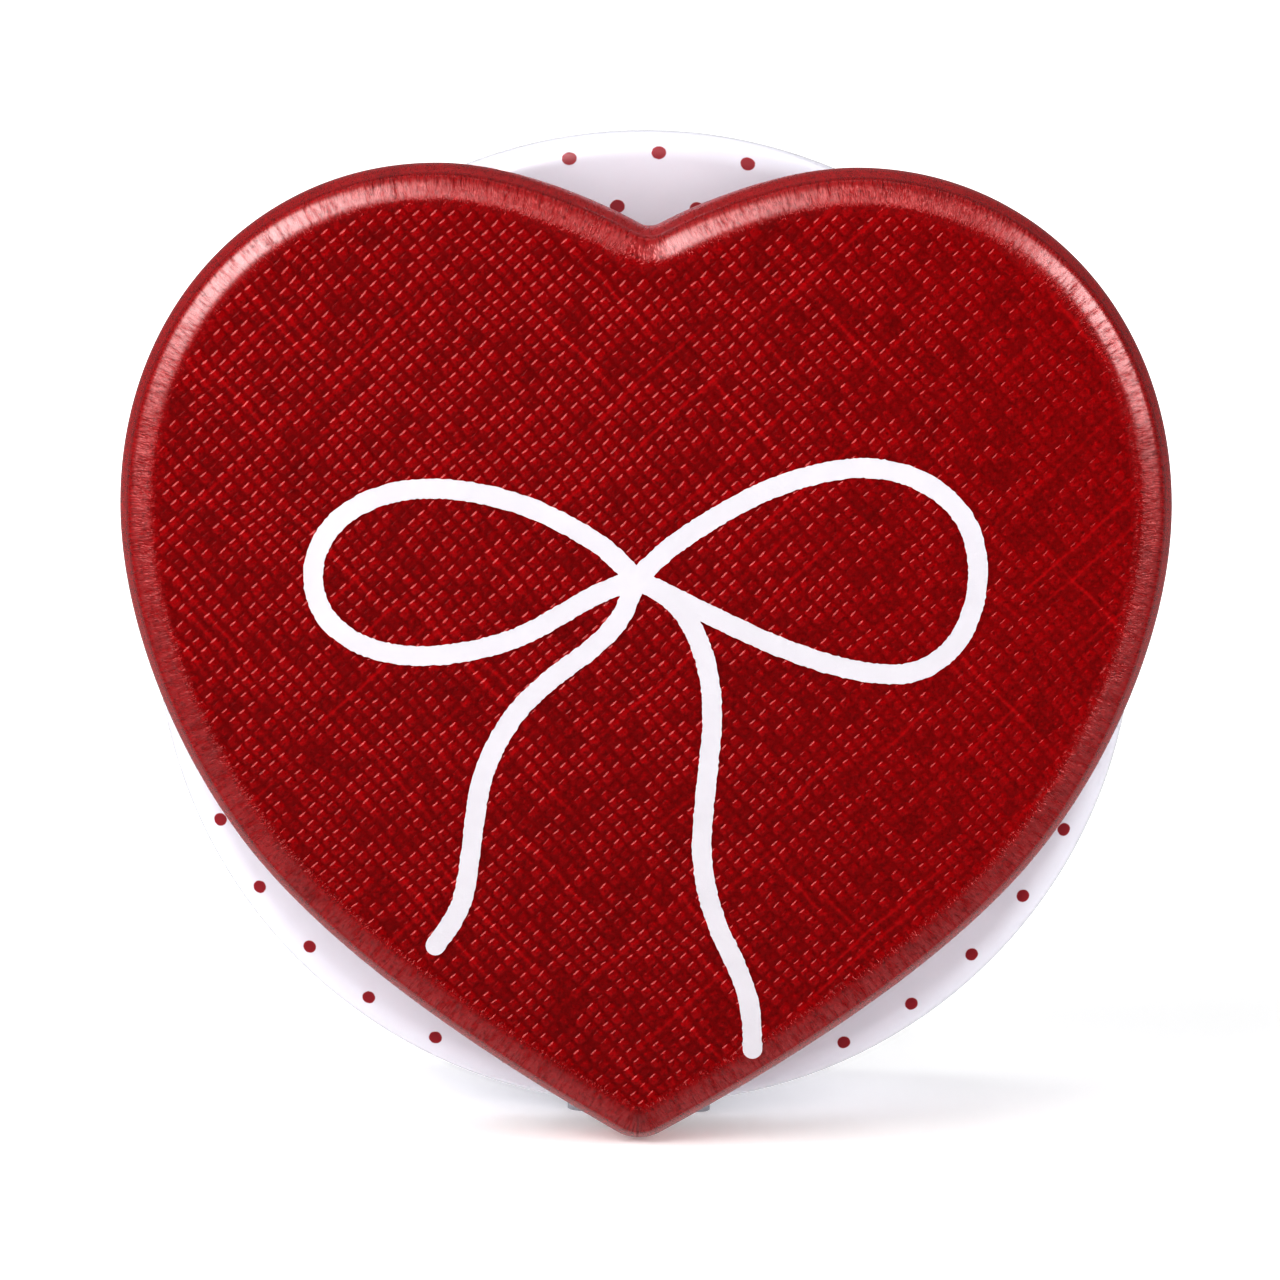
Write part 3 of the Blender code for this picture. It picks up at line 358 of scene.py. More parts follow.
def dotted_lacquer(settings):
    """Milky lacquer with rings of small printed dots, which spread and lean a little at the top."""
    finish = Finish("dotted_lacquer", specular_ior_level=0.35, coat_roughness=0.08)
    across, _, up = finish.axes()
    rise = up - DRUM_Z
    radius = (across * across + rise * rise).math("SQRT")
    angle = across.math("ARCTAN2", rise)
    lean, spread = 0.018, 0.113
    top = 1 - angle.math("ABSOLUTE").between(0.25, 1.5)
    turn = (angle - top * lean).math("ABSOLUTE") * (1 - top * spread) / settings.dot_angle
    run = finish.attribute("profile_run") / (settings.dot_rows / MM)
    ring = run.math("ROUND")
    offset = ring.math("FLOORED_MODULO", 2.0) * 0.5
    step = turn - (turn - offset).math("ROUND") - offset
    along = (run - ring) * (settings.dot_rows / MM)
    aside = step * radius * settings.dot_angle
    distance = (along * along + aside * aside).math("SQRT") + (finish.noise(0.5) - 0.5) * 0.12
    size = settings.dot_diameter / 2 / MM
    dot = (1 - distance.between(size - 0.06, size + 0.06)) * rise.between(-46.2, -46.0)
    cloud = finish.noise(16.0, 3.0)
    pale = tuple(channel * 0.97 for channel in settings.lacquer)
    base = finish.mix(cloud.between(0.35, 0.65), pale, settings.lacquer)
    finish.feed("Base Color", finish.mix(dot, base, settings.dot))
    finish.feed("Roughness", dot * 0.18 + cloud * 0.08 + 0.2)
    finish.feed("Coat Weight", 0.3 - dot * 0.15)
    finish.bump(dot * 0.5 + finish.noise(1.6, 2.0) * 0.25, 0.04 * MM)
    return finish.done()


def milky_plastic(settings):
    """The drum's plastic without its dots, with a fine moulded texture."""
    finish = Finish("milky_plastic")
    cloud = finish.noise(14.0, 3.0)
    pale = tuple(channel * 0.94 for channel in settings.lacquer)
    finish.feed("Base Color", finish.mix(cloud.between(0.35, 0.7), pale, settings.lacquer))
    finish.feed("Roughness", finish.noise(0.5, 2.0) * 0.16 + 0.3)
    finish.bump(finish.noise(0.35, 3.0, 0.6), 0.03 * MM)
    return finish.done()


def metal(name, shade, rough, brushed=(1, 1, 1), wear=0.3, relief=0.02):
    """Metal with fine brushing, a little tarnish and small dents."""
    finish = Finish(name, metallic=1.0)
    lines = finish.noise(0.25, 3.0, 0.6, stretch=brushed)
    tarnish = finish.noise(4.0, 4.0, 0.6)
    dull = tuple(channel * 0.62 for channel in shade)
    finish.feed("Base Color", finish.mix(tarnish.between(0.5, 0.8) * wear, shade, dull))
    finish.feed("Roughness", lines * 0.14 + tarnish.between(0.45, 0.8) * 0.12 + rough)
    finish.bump(lines + finish.noise(1.5, 2.0) * 0.6, relief * MM)
    return finish.done()


def soft_plastic(name, shade, rough, size=0.4):
    """Moulded plastic or rubber with a fine grain."""
    finish = Finish(name)
    cloud = finish.noise(3.0, 3.0)
    dusty = tuple(channel * 1.5 + 0.01 for channel in shade)
    finish.feed("Base Color", finish.mix(cloud.between(0.45, 0.8) * 0.5, shade, dusty))
    finish.feed("Roughness", finish.noise(size, 3.0) * 0.2 + rough)
    finish.bump(finish.noise(size, 3.0, 0.6), 0.05 * MM)
    return finish.done()


def pressed_board():
    """Brown pressed board with short fibres."""
    finish = Finish("pressed_board")
    fibres = finish.noise(0.5, 4.0, 0.7, stretch=(1, 1, 3))
    cloud = finish.noise(6.0, 3.0)
    shade = finish.mix(cloud.between(0.3, 0.7), (0.3, 0.2, 0.115), (0.44, 0.31, 0.19))
    finish.feed("Base Color", finish.mix(fibres.between(0.5, 0.75) * 0.6, shade, (0.2, 0.12, 0.07)))
    finish.feed("Roughness", fibres * 0.2 + 0.7)
    finish.bump(fibres, 0.12 * MM)
    return finish.done()


def lining_paper():
    """Thin off-white paper with a faint fibre."""
    finish = Finish("lining_paper")
    fibres = finish.noise(0.6, 4.0, 0.7, stretch=(1, 1, 2.5))
    shade = finish.mix(fibres.between(0.35, 0.7), (0.66, 0.62, 0.57), (0.76, 0.73, 0.68))
    finish.feed("Base Color", shade)
    finish.feed("Roughness", fibres * 0.15 + 0.78)
    finish.bump(fibres, 0.04 * MM)
    return finish.done()


def make_finishes(scene):
    """Make every finish that isn't there yet."""
    heart, drum, metals = scene.music_box_heart, scene.music_box_drum, scene.music_box_metals
    makers = {
        "embossed_leatherette": lambda: leatherette(heart),
        "print_ink": lambda: print_ink(heart),
        "dotted_lacquer": lambda: dotted_lacquer(drum),
        "milky_plastic": lambda: milky_plastic(drum),
        "nickel": lambda: metal("nickel", metals.nickel, 0.12, wear=0.25),
        "steel": lambda: metal("steel", metals.steel, 0.24, (1, 1, 6)),
        "spring_steel": lambda: metal("spring_steel", (0.3, 0.33, 0.4), 0.22, (1, 5, 1), 0.5),
        "brass": lambda: metal("brass", metals.brass, 0.2, (4, 1, 1), 0.35),
        "cast_zinc": lambda: metal("cast_zinc", metals.zinc, 0.38, wear=0.5, relief=0.08),
        "black_plastic": lambda: soft_plastic("black_plastic", (0.03, 0.03, 0.034), 0.34),
        "foam_grey": lambda: soft_plastic("foam_grey", (0.2, 0.2, 0.21), 0.6, 0.8),
        "clear_silicone": lambda: soft_plastic("clear_silicone", (0.5, 0.49, 0.53), 0.4),
        "rubber": lambda: soft_plastic("rubber", (0.025, 0.025, 0.026), 0.62),
        "pressed_board": pressed_board,
        "lining_paper": lining_paper,
    }
    for name, maker in makers.items():
        if name not in bpy.data.materials:
            maker()


# ---------------------------------------------------------------- mesh tools


def at(x, depth, z):
    """A place in metres, from millimetres right, behind the heart's face and above the table."""
    return Vector((x * MM, FACE_Y + depth * MM, z * MM))


def piece(name, mesh, finish, body, replaced=(), crease=35):
    """Show a finished mesh: its name, finish, body and the CAD nodes that it stands for."""
    obj = bpy.data.objects.new(name, mesh)
    bpy.context.scene.collection.objects.link(obj)
    mesh.name = name
    mesh.materials.clear()
    mesh.materials.append(bpy.data.materials[finish])
    mesh.shade_smooth()
    mesh.set_sharp_from_angle(angle=math.radians(crease))
    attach(obj, body)
    if replaced:
        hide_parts(*replaced)
    return obj


def to_mesh(shape, weld=0.0):
    """A new mesh from a bmesh, with its faces pointing out."""
    if weld:
        bmesh.ops.remove_doubles(shape, verts=shape.verts, dist=weld)
    bmesh.ops.recalc_face_normals(shape, faces=shape.faces)
    mesh = bpy.data.meshes.new("shape")
    shape.to_mesh(mesh)
    shape.free()
    return mesh


def rings_mesh(rings, attributes=None, cap_ends=False):
    """A skin over closed rings of points, as a tube whose last ring meets its first unless capped."""
    shape = bmesh.new()
    layers = {name: shape.verts.layers.float.new(name) for name in (attributes or {})}
    made = []
    for i, ring in enumerate(rings):
        row = []
        for j, point in enumerate(ring):
            vert = shape.verts.new(point)
            for name, values in (attributes or {}).items():
                vert[layers[name]] = values[i][j]
            row.append(vert)
        made.append(row)
    pairs = list(zip(made, made[1:])) + ([] if cap_ends else [(made[-1], made[0])])
    for first, second in pairs:
        for j in range(len(first)):
            k = (j + 1) % len(first)
            shape.faces.new((first[j], first[k], second[k], second[j]))
    if cap_ends:
        shape.faces.new(made[0])
        shape.faces.new(made[-1])
    return shape


def lathe(profile, centre, direction=(0, 1, 0), steps=96, start=0.0):
    """A turned shape: a closed loop of (radius, distance along direction) in millimetres."""
    axis = Vector(direction).normalized()
    side = axis.orthogonal().normalized()
    over = axis.cross(side)
    rings = []
    for i in range(steps):
        angle = 2 * math.pi * i / steps
        out = side * math.cos(angle) + over * math.sin(angle)
        rings.append([Vector(centre) + (out * radius + axis * height) * MM
                      for radius, height in profile])
    run = [start]
    for first, second in zip(profile, profile[1:]):
        run.append(run[-1] + math.dist(first, second))
    shape = rings_mesh(rings, {"profile_run": [run] * steps})
    return to_mesh(shape, weld=0.000002)


def rounded(points, radius, count=4):
    """A closed outline with each corner that has a radius turned into an arc."""
    outline = []
    total = len(points)
    for i, corner in enumerate(points):
        here = Vector(corner)
        reach = radius[i] if isinstance(radius, (list, tuple)) else radius
        before = Vector(points[i - 1]) - here
        after = Vector(points[(i + 1) % total]) - here
        reach = min(reach, before.length * 0.49, after.length * 0.49)
        if reach < 0.001:
            outline.append(tuple(here))
            continue
        first = here + before.normalized() * reach
        last = here + after.normalized() * reach
        for k in range(count + 1):
            t = k / count
            outline.append(tuple(first * (1 - t) ** 2 + here * 2 * t * (1 - t) + last * t * t))
    return outline


def arc(centre, radius, start, end, count):
    """Points on a circle, between two angles in degrees."""
    angles = [math.radians(start + (end - start) * i / (count - 1)) for i in range(count)]
    return [(centre[0] + radius * math.cos(a), centre[1] + radius * math.sin(a)) for a in angles]


def slab(outline, low, high, place, edge=0.0, segments=2):
    """An outline pulled out between two heights, with its rims rounded. place makes a point of it."""
    shape = bmesh.new()
    bottom = [shape.verts.new(place(a, b, low)) for a, b in outline]
    top = [shape.verts.new(place(a, b, high)) for a, b in outline]
    for i in range(len(outline)):
        j = (i + 1) % len(outline)
        shape.faces.new((bottom[i], bottom[j], top[j], top[i]))
    caps = [shape.faces.new(bottom), shape.faces.new(top)]
    if edge:
        rims = [rim for cap in caps for rim in cap.edges]
        bmesh.ops.bevel(shape, geom=rims, offset=edge * MM, segments=segments, profile=0.5,
                        affect="EDGES", clamp_overlap=True)
    return to_mesh(shape)


def tube(points, radius, sides=20):
    """A round wire along points given in metres."""
    curve = bpy.data.curves.new("wire", "CURVE")
    curve.dimensions = "3D"
    curve.bevel_depth = radius * MM
    curve.bevel_resolution = sides // 4
    curve.use_fill_caps = True
    spline = curve.splines.new("POLY")
    spline.points.add(len(points) - 1)
    for target, point in zip(spline.points, points):
        target.co = (*point, 1)
    holder = bpy.data.objects.new("wire", curve)
    bpy.context.scene.collection.objects.link(holder)
    graph = bpy.context.evaluated_depsgraph_get()
    made = bpy.data.meshes.new_from_object(holder.evaluated_get(graph))
    bpy.data.objects.remove(holder)
    shape = bmesh.new()
    shape.from_mesh(made)
    return to_mesh(shape, weld=0.000001)


def combined(mesh, others, operation):
    """One mesh cut by, or joined to, the others."""
    scene = bpy.context.scene.collection
    base = bpy.data.objects.new("base", mesh)
    scene.objects.link(base)
    tools = []
    for other in others:
        tool = bpy.data.objects.new("tool", other)
        scene.objects.link(tool)
        tools.append(tool)
        boolean = base.modifiers.new("tool", "BOOLEAN")
        boolean.operation = operation
        boolean.solver = "EXACT"
        boolean.object = tool
    graph = bpy.context.evaluated_depsgraph_get()
    result = bpy.data.meshes.new_from_object(base.evaluated_get(graph))
    for tool in (base, *tools):
        bpy.data.objects.remove(tool)
    return result


def cut(mesh, *others):
    return combined(mesh, others, "DIFFERENCE")


def joined(mesh, *others):
    return combined(mesh, others, "UNION")


def flat_on_case(x, z, depth):
    """A point from its place on the front or rear of the case."""
    return at(x, depth, z)


def behind_face(y):
    """Millimetres behind the heart's face, from a place in metres."""
    return (y - FACE_Y) / MM


def middle_of(node):
    """A node's middle, in millimetres right and up."""
    low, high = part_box(node)
    return (low.x + high.x) / 2 / MM, (low.z + high.z) / 2 / MM


def bar(x, y, half_width, half_height):
    """A rectangle's corners about its middle."""
    return [(x - half_width, y - half_height), (x + half_width, y - half_height),
            (x + half_width, y + half_height), (x - half_width, y + half_height)]


def bezier(start, first, second, end, count):
    """Points along a Bezier curve, without its end."""
    corners = [Vector(point) for point in (start, first, second, end)]
    points = []
    for i in range(count):
        t = i / count
        weights = ((1 - t) ** 3, 3 * t * (1 - t) ** 2, 3 * t * t * (1 - t), t ** 3)
        point = Vector((0, 0))
        for weight, corner in zip(weights, corners):
            point += corner * weight
        points.append(tuple(point))
    return points


def through(points, spacing):
    """A smooth line through points (Catmull-Rom), with a point about every spacing millimetres."""
    padded = [Vector(p) for p in (points[0], *points, points[-1])]
    line = []
    for a, b, c, d in zip(padded, padded[1:], padded[2:], padded[3:]):
        count = max(2, round((c - b).length / spacing))
        for i in range(count):
            t = i / count
            line.append((2 * b + (c - a) * t + (2 * a - 5 * b + 4 * c - d) * t * t
                         + (3 * b - a - 3 * c + d) * t ** 3) / 2)
    line.append(padded[-1])
    return line


# ---------------------------------------------------------------- heart


def heart_outline(density=1.0):
    """The heart from its tip up its right side to the cleft, and mirrored."""
    tip = (0, 0)
    tip_side = (2.3, 0.62)
    flank = (38.5, 27.7)
    widest = (53.05, 64.5)
    crest = (21, 98.95)
    cleft_side = (1.0, 93.15)
    half = bezier(tip, (0.8, 0), (1.6, 0.22), tip_side, round(8 * density))
    half += bezier(tip_side, (14.47, 7.55), (29.33, 17.12), flank, round(56 * density))
    half += bezier(flank, (46.36, 36.77), (53.05, 51.5), widest, round(56 * density))
    half += bezier(widest, (53.05, 84.1), (39.3, 98.95), crest, round(84 * density))
    half += bezier(crest, (13.5, 98.95), (5, 95.3), cleft_side, round(40 * density))
    half += bezier(cleft_side, (0.69, 92.99), (0.35, 92.9), (0, 92.9), round(6 * density))
    half = [(x * HEART_SCALE, z * HEART_SCALE) for x, z in half]
    cleft = (0, 92.9 * HEART_SCALE)
    return half + [cleft] + [(-x, z) for x, z in reversed(half) if x > 0.001]


def inward(outline):
    """Each point's inward direction, and how far it may move before it crosses the centre line."""
    ways = []
    total = len(outline)
    for i, point in enumerate(outline):
        before = Vector(outline[i - 1])
        after = Vector(outline[(i + 1) % total])
        along = (after - before).normalized()
        way = Vector((-along.y, along.x))
        closing = -way.x * math.copysign(1, point[0])
        room = abs(point[0]) / closing if abs(point[0]) > 0.001 and closing > 0.01 else 1000.0
        ways.append([way, room])
    ways[0][1] = ways[1][1]
    return ways


def inset_ring(outline, ways, inset, depth, wave=None):
    """The outline moved in and back."""
    ring = []
    for i, ((x, z), (way, room)) in enumerate(zip(outline, ways)):
        reach = min(inset, room * 0.93)
        extra = wave[i] if wave else 0.0
        ring.append(at(x + way.x * reach, depth + extra, z + way.y * reach))
    return ring


def run_lengths(outline):
    """Distance along the outline to each point."""
    runs = [0.0]
    for first, second in zip(outline, outline[1:]):
        runs.append(runs[-1] + math.dist(first, second))
    return runs


def make_heart_skin(settings):
    """The leatherette: face, padded edge, side, and a pleated hem turned in over the back."""
    outline = heart_outline()
    ways = inward(outline)
    runs = run_lengths(outline)
    radius = settings.edge_radius / MM
    hem = settings.hem_width / MM
    back = HEART_DEPTH
    skin = 0.7
    rear_edge = 0.9
    pleat_pitch = 2.6

    steps = [(radius + inset, 0.0) for inset in (10.0, 7.4, 4.8, 2.4)]
    # the padded edge: a broad slope towards the face, then a steep one, with soft corners between
    corners = [(radius * 1.26, 0.0), (radius * 0.84, 0.0), (radius * 0.3, radius * 0.27),
               (radius * 0.05, radius * 0.86), (0.0, radius * 1.2), (0.0, radius * 1.3)]
    steps += rounded(corners, [0.0, 0.85, 0.9, 0.9, 0.3, 0.0], 5)
    steps += [(0.0, 6.8), (0.0, back - rear_edge)]
    for i in range(1, 5):
        angle = math.radians(90 * i / 4)
        steps.append((rear_edge * (1 - math.cos(angle)), back - rear_edge * (1 - math.sin(angle))))
    hem_starts = len(steps)
    steps += [(2.4, back), (4.4, back), (6.4, back), (hem - 0.3, back), (hem, back - 0.12),
              (hem - 0.1, back - 0.26)]
    steps += [(skin + 0.25, back - 0.26), (skin + 0.25, radius)]
    inner = radius - skin
    for i in range(1, 5):
        angle = math.radians(90 * i / 4)
        steps.append((radius - inner * math.cos(angle), radius - inner * math.sin(angle)))

    rings = []
    for i, (inset, depth) in enumerate(steps):
        wave = None
        if hem_starts <= i < hem_starts + 4:
            share = (i - hem_starts + 1) / 4
            wave = [-0.16 * share * (0.5 + 0.5 * math.sin(2 * math.pi * run / pleat_pitch
                                                          + math.sin(run * 0.31)))
                    for run in runs]
        rings.append(inset_ring(outline, ways, inset, depth, wave))
    attributes = {"edge_inset": [[inset] * len(outline) for inset, _ in steps],
                  "edge_run": [runs] * len(steps)}
    shape = rings_mesh(rings, attributes, cap_ends=True)
    inset_layer = shape.verts.layers.float["edge_inset"]
    for cap in [face for face in shape.faces if len(face.verts) > 4]:
        middle = bmesh.ops.poke(shape, faces=[cap])["verts"][0]
        middle[inset_layer] = 30.0
    piece("heart_skin", to_mesh(shape), "embossed_leatherette", "case",
          ["heart_cover"], 50)


def make_heart_back(settings):
    """The paper that lines the board's back, under the hem's edge."""
    outline = heart_outline(0.5)
    ways = inward(outline)
    inset = settings.hem_width / MM - 1.6
    points = []
    for (x, z), (way, room) in zip(outline, ways):
        reach = min(inset, room * 0.8)
        points.append((x + way.x * reach, z + way.y * reach))
    mesh = slab(points, HEART_DEPTH - 0.29, HEART_DEPTH - 0.27, flat_on_case)
    piece("heart_lining", mesh, "lining_paper", "case")


BOW_KNOT = (-0.9, 57.8)
LEFT_LOOP = (BOW_KNOT, (-4.0, 60.8), (-7.6, 63.0), (-11.5, 64.8), (-15.6, 66.0), (-19.9, 66.6),
             (-24.2, 66.4), (-28.4, 65.0), (-31.7, 62.3), (-33.2, 58.3), (-32.3, 54.2),
             (-29.2, 51.3), (-25.1, 50.0), (-20.8, 49.9), (-16.5, 50.6), (-12.4, 51.9),
             (-8.6, 54.0), (-4.9, 56.2), BOW_KNOT)
RIGHT_LOOP = (BOW_KNOT, (2.2, 60.8), (5.7, 63.3), (9.3, 65.5), (13.2, 67.3), (17.3, 68.6),
              (21.6, 69.2), (25.8, 68.6), (29.6, 66.6), (32.2, 63.5), (33.2, 59.5), (32.8, 55.3),
              (31.0, 51.5), (27.5, 48.9), (23.2, 48.6), (18.9, 49.4), (14.8, 50.7), (10.8, 52.3),
              (6.9, 54.1), (3.0, 56.0), BOW_KNOT)
LEFT_TAIL = (BOW_KNOT, (-2.5, 53.7), (-5.5, 50.6), (-9.0, 47.9), (-12.2, 44.9), (-14.6, 41.3),
             (-16.2, 37.2), (-16.9, 32.9), (-17.4, 28.5), (-18.3, 24.3), (-20.7, 20.5))
RIGHT_TAIL = (BOW_KNOT, (2.9, 55.6), (5.2, 52.2), (6.5, 48.1), (6.9, 43.8), (6.6, 39.6),
              (6.2, 35.3), (6.0, 30.9), (6.5, 26.7), (7.8, 22.6), (9.7, 18.7), (11.1, 14.6),
              (11.4, 10.3))


def eased(line, passes):
    """A line with its kinks smoothed out and its ends kept."""
    for _ in range(passes):
        inner = [(a + b * 2 + c) / 4 for a, b, c in zip(line, line[1:], line[2:])]
        line = [line[0], *inner, line[-1]]
    return line


def make_bow(settings):
    """The printed bow: loops and tails of one width that join at the knot, with ragged sides."""
    ragged = random.Random(5)
    width = settings.line_width / MM
    top = 0.1
    strokes = [eased(through(tail, 0.32), 14) for tail in (LEFT_TAIL, RIGHT_TAIL)]
    for loop in (LEFT_LOOP, RIGHT_LOOP):
        line = eased(through(loop, 0.32), 14)
        middle = len(line) // 2
        strokes += [line[:middle + 1], line[middle:]]
    meshes = []
    for n, line in enumerate(strokes):
        left = []
        right = []
        for i, point in enumerate(line):
            along = (line[min(i + 1, len(line) - 1)] - line[max(i - 1, 0)]).normalized()
            side = Vector((-along.y, along.x)) * width / 2
            left.append(tuple(point + side * (1 + ragged.uniform(-0.07, 0.05))))
            right.append(tuple(point - side * (1 + ragged.uniform(-0.07, 0.05))))
        first = line[1] - line[0]
        last = line[-1] - line[-2]
        start = math.degrees(math.atan2(first.y, first.x))
        end = math.degrees(math.atan2(last.y, last.x))
        outline = right[1:-1] + arc(line[-1], width / 2, end - 90, end + 90, 11)
        outline += left[-2:0:-1] + arc(line[0], width / 2, start + 90, start + 270, 11)
        meshes.append(slab(outline, -top - 0.0004 * n, 0.03 + 0.0004 * n, flat_on_case))
    bow = joined(meshes[0], *meshes[1:])
    piece("bow_ink", bow, "print_ink", "case", ["bow_print"])


# ---------------------------------------------------------------- drum


def make_drum_shell(settings):
    """The drum: a flat front, a soft round edge, and a fine bead at the joint with its cover."""
    edge = 3.0
    wall = 2.0
    radius = DRUM_RADIUS
    front, rear = DRUM_FRONT, DRUM_REAR
    profile = [(0.0, front), (30.0, front), (42.0, front)]
    profile += [(r, d) for r, d in arc((radius - edge, front + edge), edge, -90, 0, 13)]
    profile += [(radius, rear - 1.4), (radius - 0.25, rear - 1.1), (radius - 0.25, rear),
                (radius - wall, rear), (radius - wall, front + wall), (0.0, front + wall)]
    reach = DOT_RING - (radius - edge)
    start = -(radius - edge + edge * math.asin(reach / edge))
    mesh = lathe(profile, at(0, 0, DRUM_Z), steps=settings.sides, start=start)
    piece("drum_shell", mesh, "dotted_lacquer", "case", ["drum_front_shell"], 40)


SCREW_PLACES = [(43.6 * math.cos(a), DRUM_Z + 43.6 * math.sin(a))
                for a in (math.radians(45 + 90 * i) for i in range(4))]


def make_rear_cover(settings):
    """The cover: a stepped disc with sound slots, a collar round the key, posts and stand lugs."""
    radius = DRUM_RADIUS
    rear = COVER_REAR
    joint = DRUM_REAR + 0.3
    inner = rear - 2.5
    bore = 2.6
    lip = 48.5
    profile = [(bore, rear + 0.35), (bore, inner), (lip - 1.5, inner), (lip - 1.5, joint - 2.8),
               (lip, joint - 2.8), (lip, joint), (radius, joint)]
    profile += arc((radius - 1.1, rear - 1.1), 1.1, 0, 90, 7)
    profile += [(47.6, rear), (47.2, rear - 0.35), (46.4, rear - 0.35), (46.0, rear),
                (7.6, rear), (7.2, rear + 0.35)]
    cover = lathe(profile, at(0, 0, DRUM_Z), steps=settings.sides)

    added = []
    holes = []
    for node in ("movement_screw_1", "movement_screw_2", "movement_screw_3", "movement_screw_4"):
        x, z = middle_of(node)
        post = lathe([(0, 37.0), (2.7, 37.0), (3.0, 37.3), (3.0, 40.5), (0, 40.5)], at(x, 0, z), steps=32)
        added.append(post)
        holes.append(lathe([(0, 36), (1.3, 36), (1.3, 40.1), (0, 40.1)], at(x, 0, z), steps=24))
    pivot_depth = behind_face(PIVOT.y)
    pivot_z = PIVOT.z / MM
    for side in (-1, 1):
        low, high = sorted((side * 17.5, side * 20.5))
        lug = [(4.6, rear - pivot_depth - 0.6), *arc((0, 0), 3.0, 0, 180, 17),
               (-4.6, rear - pivot_depth - 0.6)]
        added.append(slab(lug, low, high, lambda a, b, h: at(h, pivot_depth + b, pivot_z + a), 0.3))
        hole = lathe([(0, -3), (1.5, -3), (1.5, 3), (0, 3)],
                     at(side * 19, pivot_depth, pivot_z), (1, 0, 0), 28)
        holes.append(hole)
    for x, z in SCREW_PLACES:
        holes.append(lathe([(0, joint - 1), (1.1, joint - 1), (1.1, rear + 1), (0, rear + 1)],
                           at(x, 0, z), steps=24))
    for i in range(-2, 3):
        x = 7 * i
        reach = 8 - abs(i)
        middle = DRUM_Z + 30
        ends = bar(x, middle, 1, reach)
        holes.append(slab(rounded(ends, 0.95, 5), inner - 1, rear + 1, flat_on_case))
    x, z = middle_of("stop_slider")
    travel = JOINTS["stop_slide"]["range_m"][1] / MM
    slot = bar(x + travel / 2, z, 1.8 + travel / 2, 1.5)
    holes.append(slab(rounded(slot, 0.6), inner - 1, rear + 1, flat_on_case))
    mesh = cut(joined(cover, *added), *holes)
    piece("rear_case", mesh, "milky_plastic", "case", ["rear_cover"], 38)

    sweep = arc((0, DRUM_Z), 17.5, 205, 325, 33)
    outer = arc((0, DRUM_Z), 18.5, 325, 205, 33)
    band = slab(sweep + outer, rear - 0.1, rear + 0.25, flat_on_case, 0.1)
    tip = math.radians(334)
    base = math.radians(325)
    head = [(15.6 * math.cos(base), DRUM_Z + 15.6 * math.sin(base)),
            (20.4 * math.cos(base), DRUM_Z + 20.4 * math.sin(base)),
            (18.0 * math.cos(tip), DRUM_Z + 18.0 * math.sin(tip))]
    point = slab(head, rear - 0.12, rear + 0.26, flat_on_case, 0.1)
    piece("wind_arrow", joined(band, point), "milky_plastic", "case")


def make_case_screws():
    """Pan-head screws with a cross recess, one in each corner boss."""
    for i, (x, z) in enumerate(SCREW_PLACES):
        seat = COVER_REAR + 0.02
        centre = at(x, seat, z)
        head = [(0, 1.45)] + [(r, h) for r, h in arc((0, -1.35), 2.8, 90, 38, 9)]
        profile = head + [(2.2, 0.0), (0.8, 0.0), (0.8, -12.0), (0.45, -14.0), (0, -14.0)]
        screw = lathe(profile, centre, steps=40)
        turn = math.radians(20 + 37 * i)
        tools = []
        for angle in (turn, turn + math.pi / 2):
            c, s = math.cos(angle), math.sin(angle)
            recess = [(x + a * c - b * s, z + a * s + b * c) for a, b in bar(0, 0, 1.25, 0.26)]
            tools.append(slab(recess, seat + 0.65, seat + 2.0, flat_on_case))
        piece(f"pan_screw_{i + 1}", cut(screw, joined(*tools)), "steel", "case",
              [f"case_screw_{i + 1}"])


def make_foot_pad():
    """The clear silicone saddle under the drum, with grooves across its sole."""
    low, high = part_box("base_foot")
    half = high.x / MM
    front, rear = behind_face(low.y), behind_face(high.y)
    sole = rounded(bar(0, (front + rear) / 2, half, (rear - front) / 2), 1.5, 6)
    pad = slab(sole, 0.0, 2.0, at, 0.15)
    hollow = lathe([(0, front - 3), (DRUM_RADIUS + 0.1, front - 3), (DRUM_RADIUS + 0.1, rear + 3),
                    (0, rear + 3)], at(0, 0, DRUM_Z), steps=180)
    grooves = []
    for i in range(5):
        depth = front + 3 + i * (rear - front - 6) / 4
        groove = bar(0, depth, half - 1.2, 0.4)
        grooves.append(slab(rounded(groove, 0.35), -0.5, 0.25, at))
    piece("foot_pad", cut(pad, hollow, *grooves), "clear_silicone", "case",
          ["base_foot"])


# ---------------------------------------------------------------- moving pieces outside


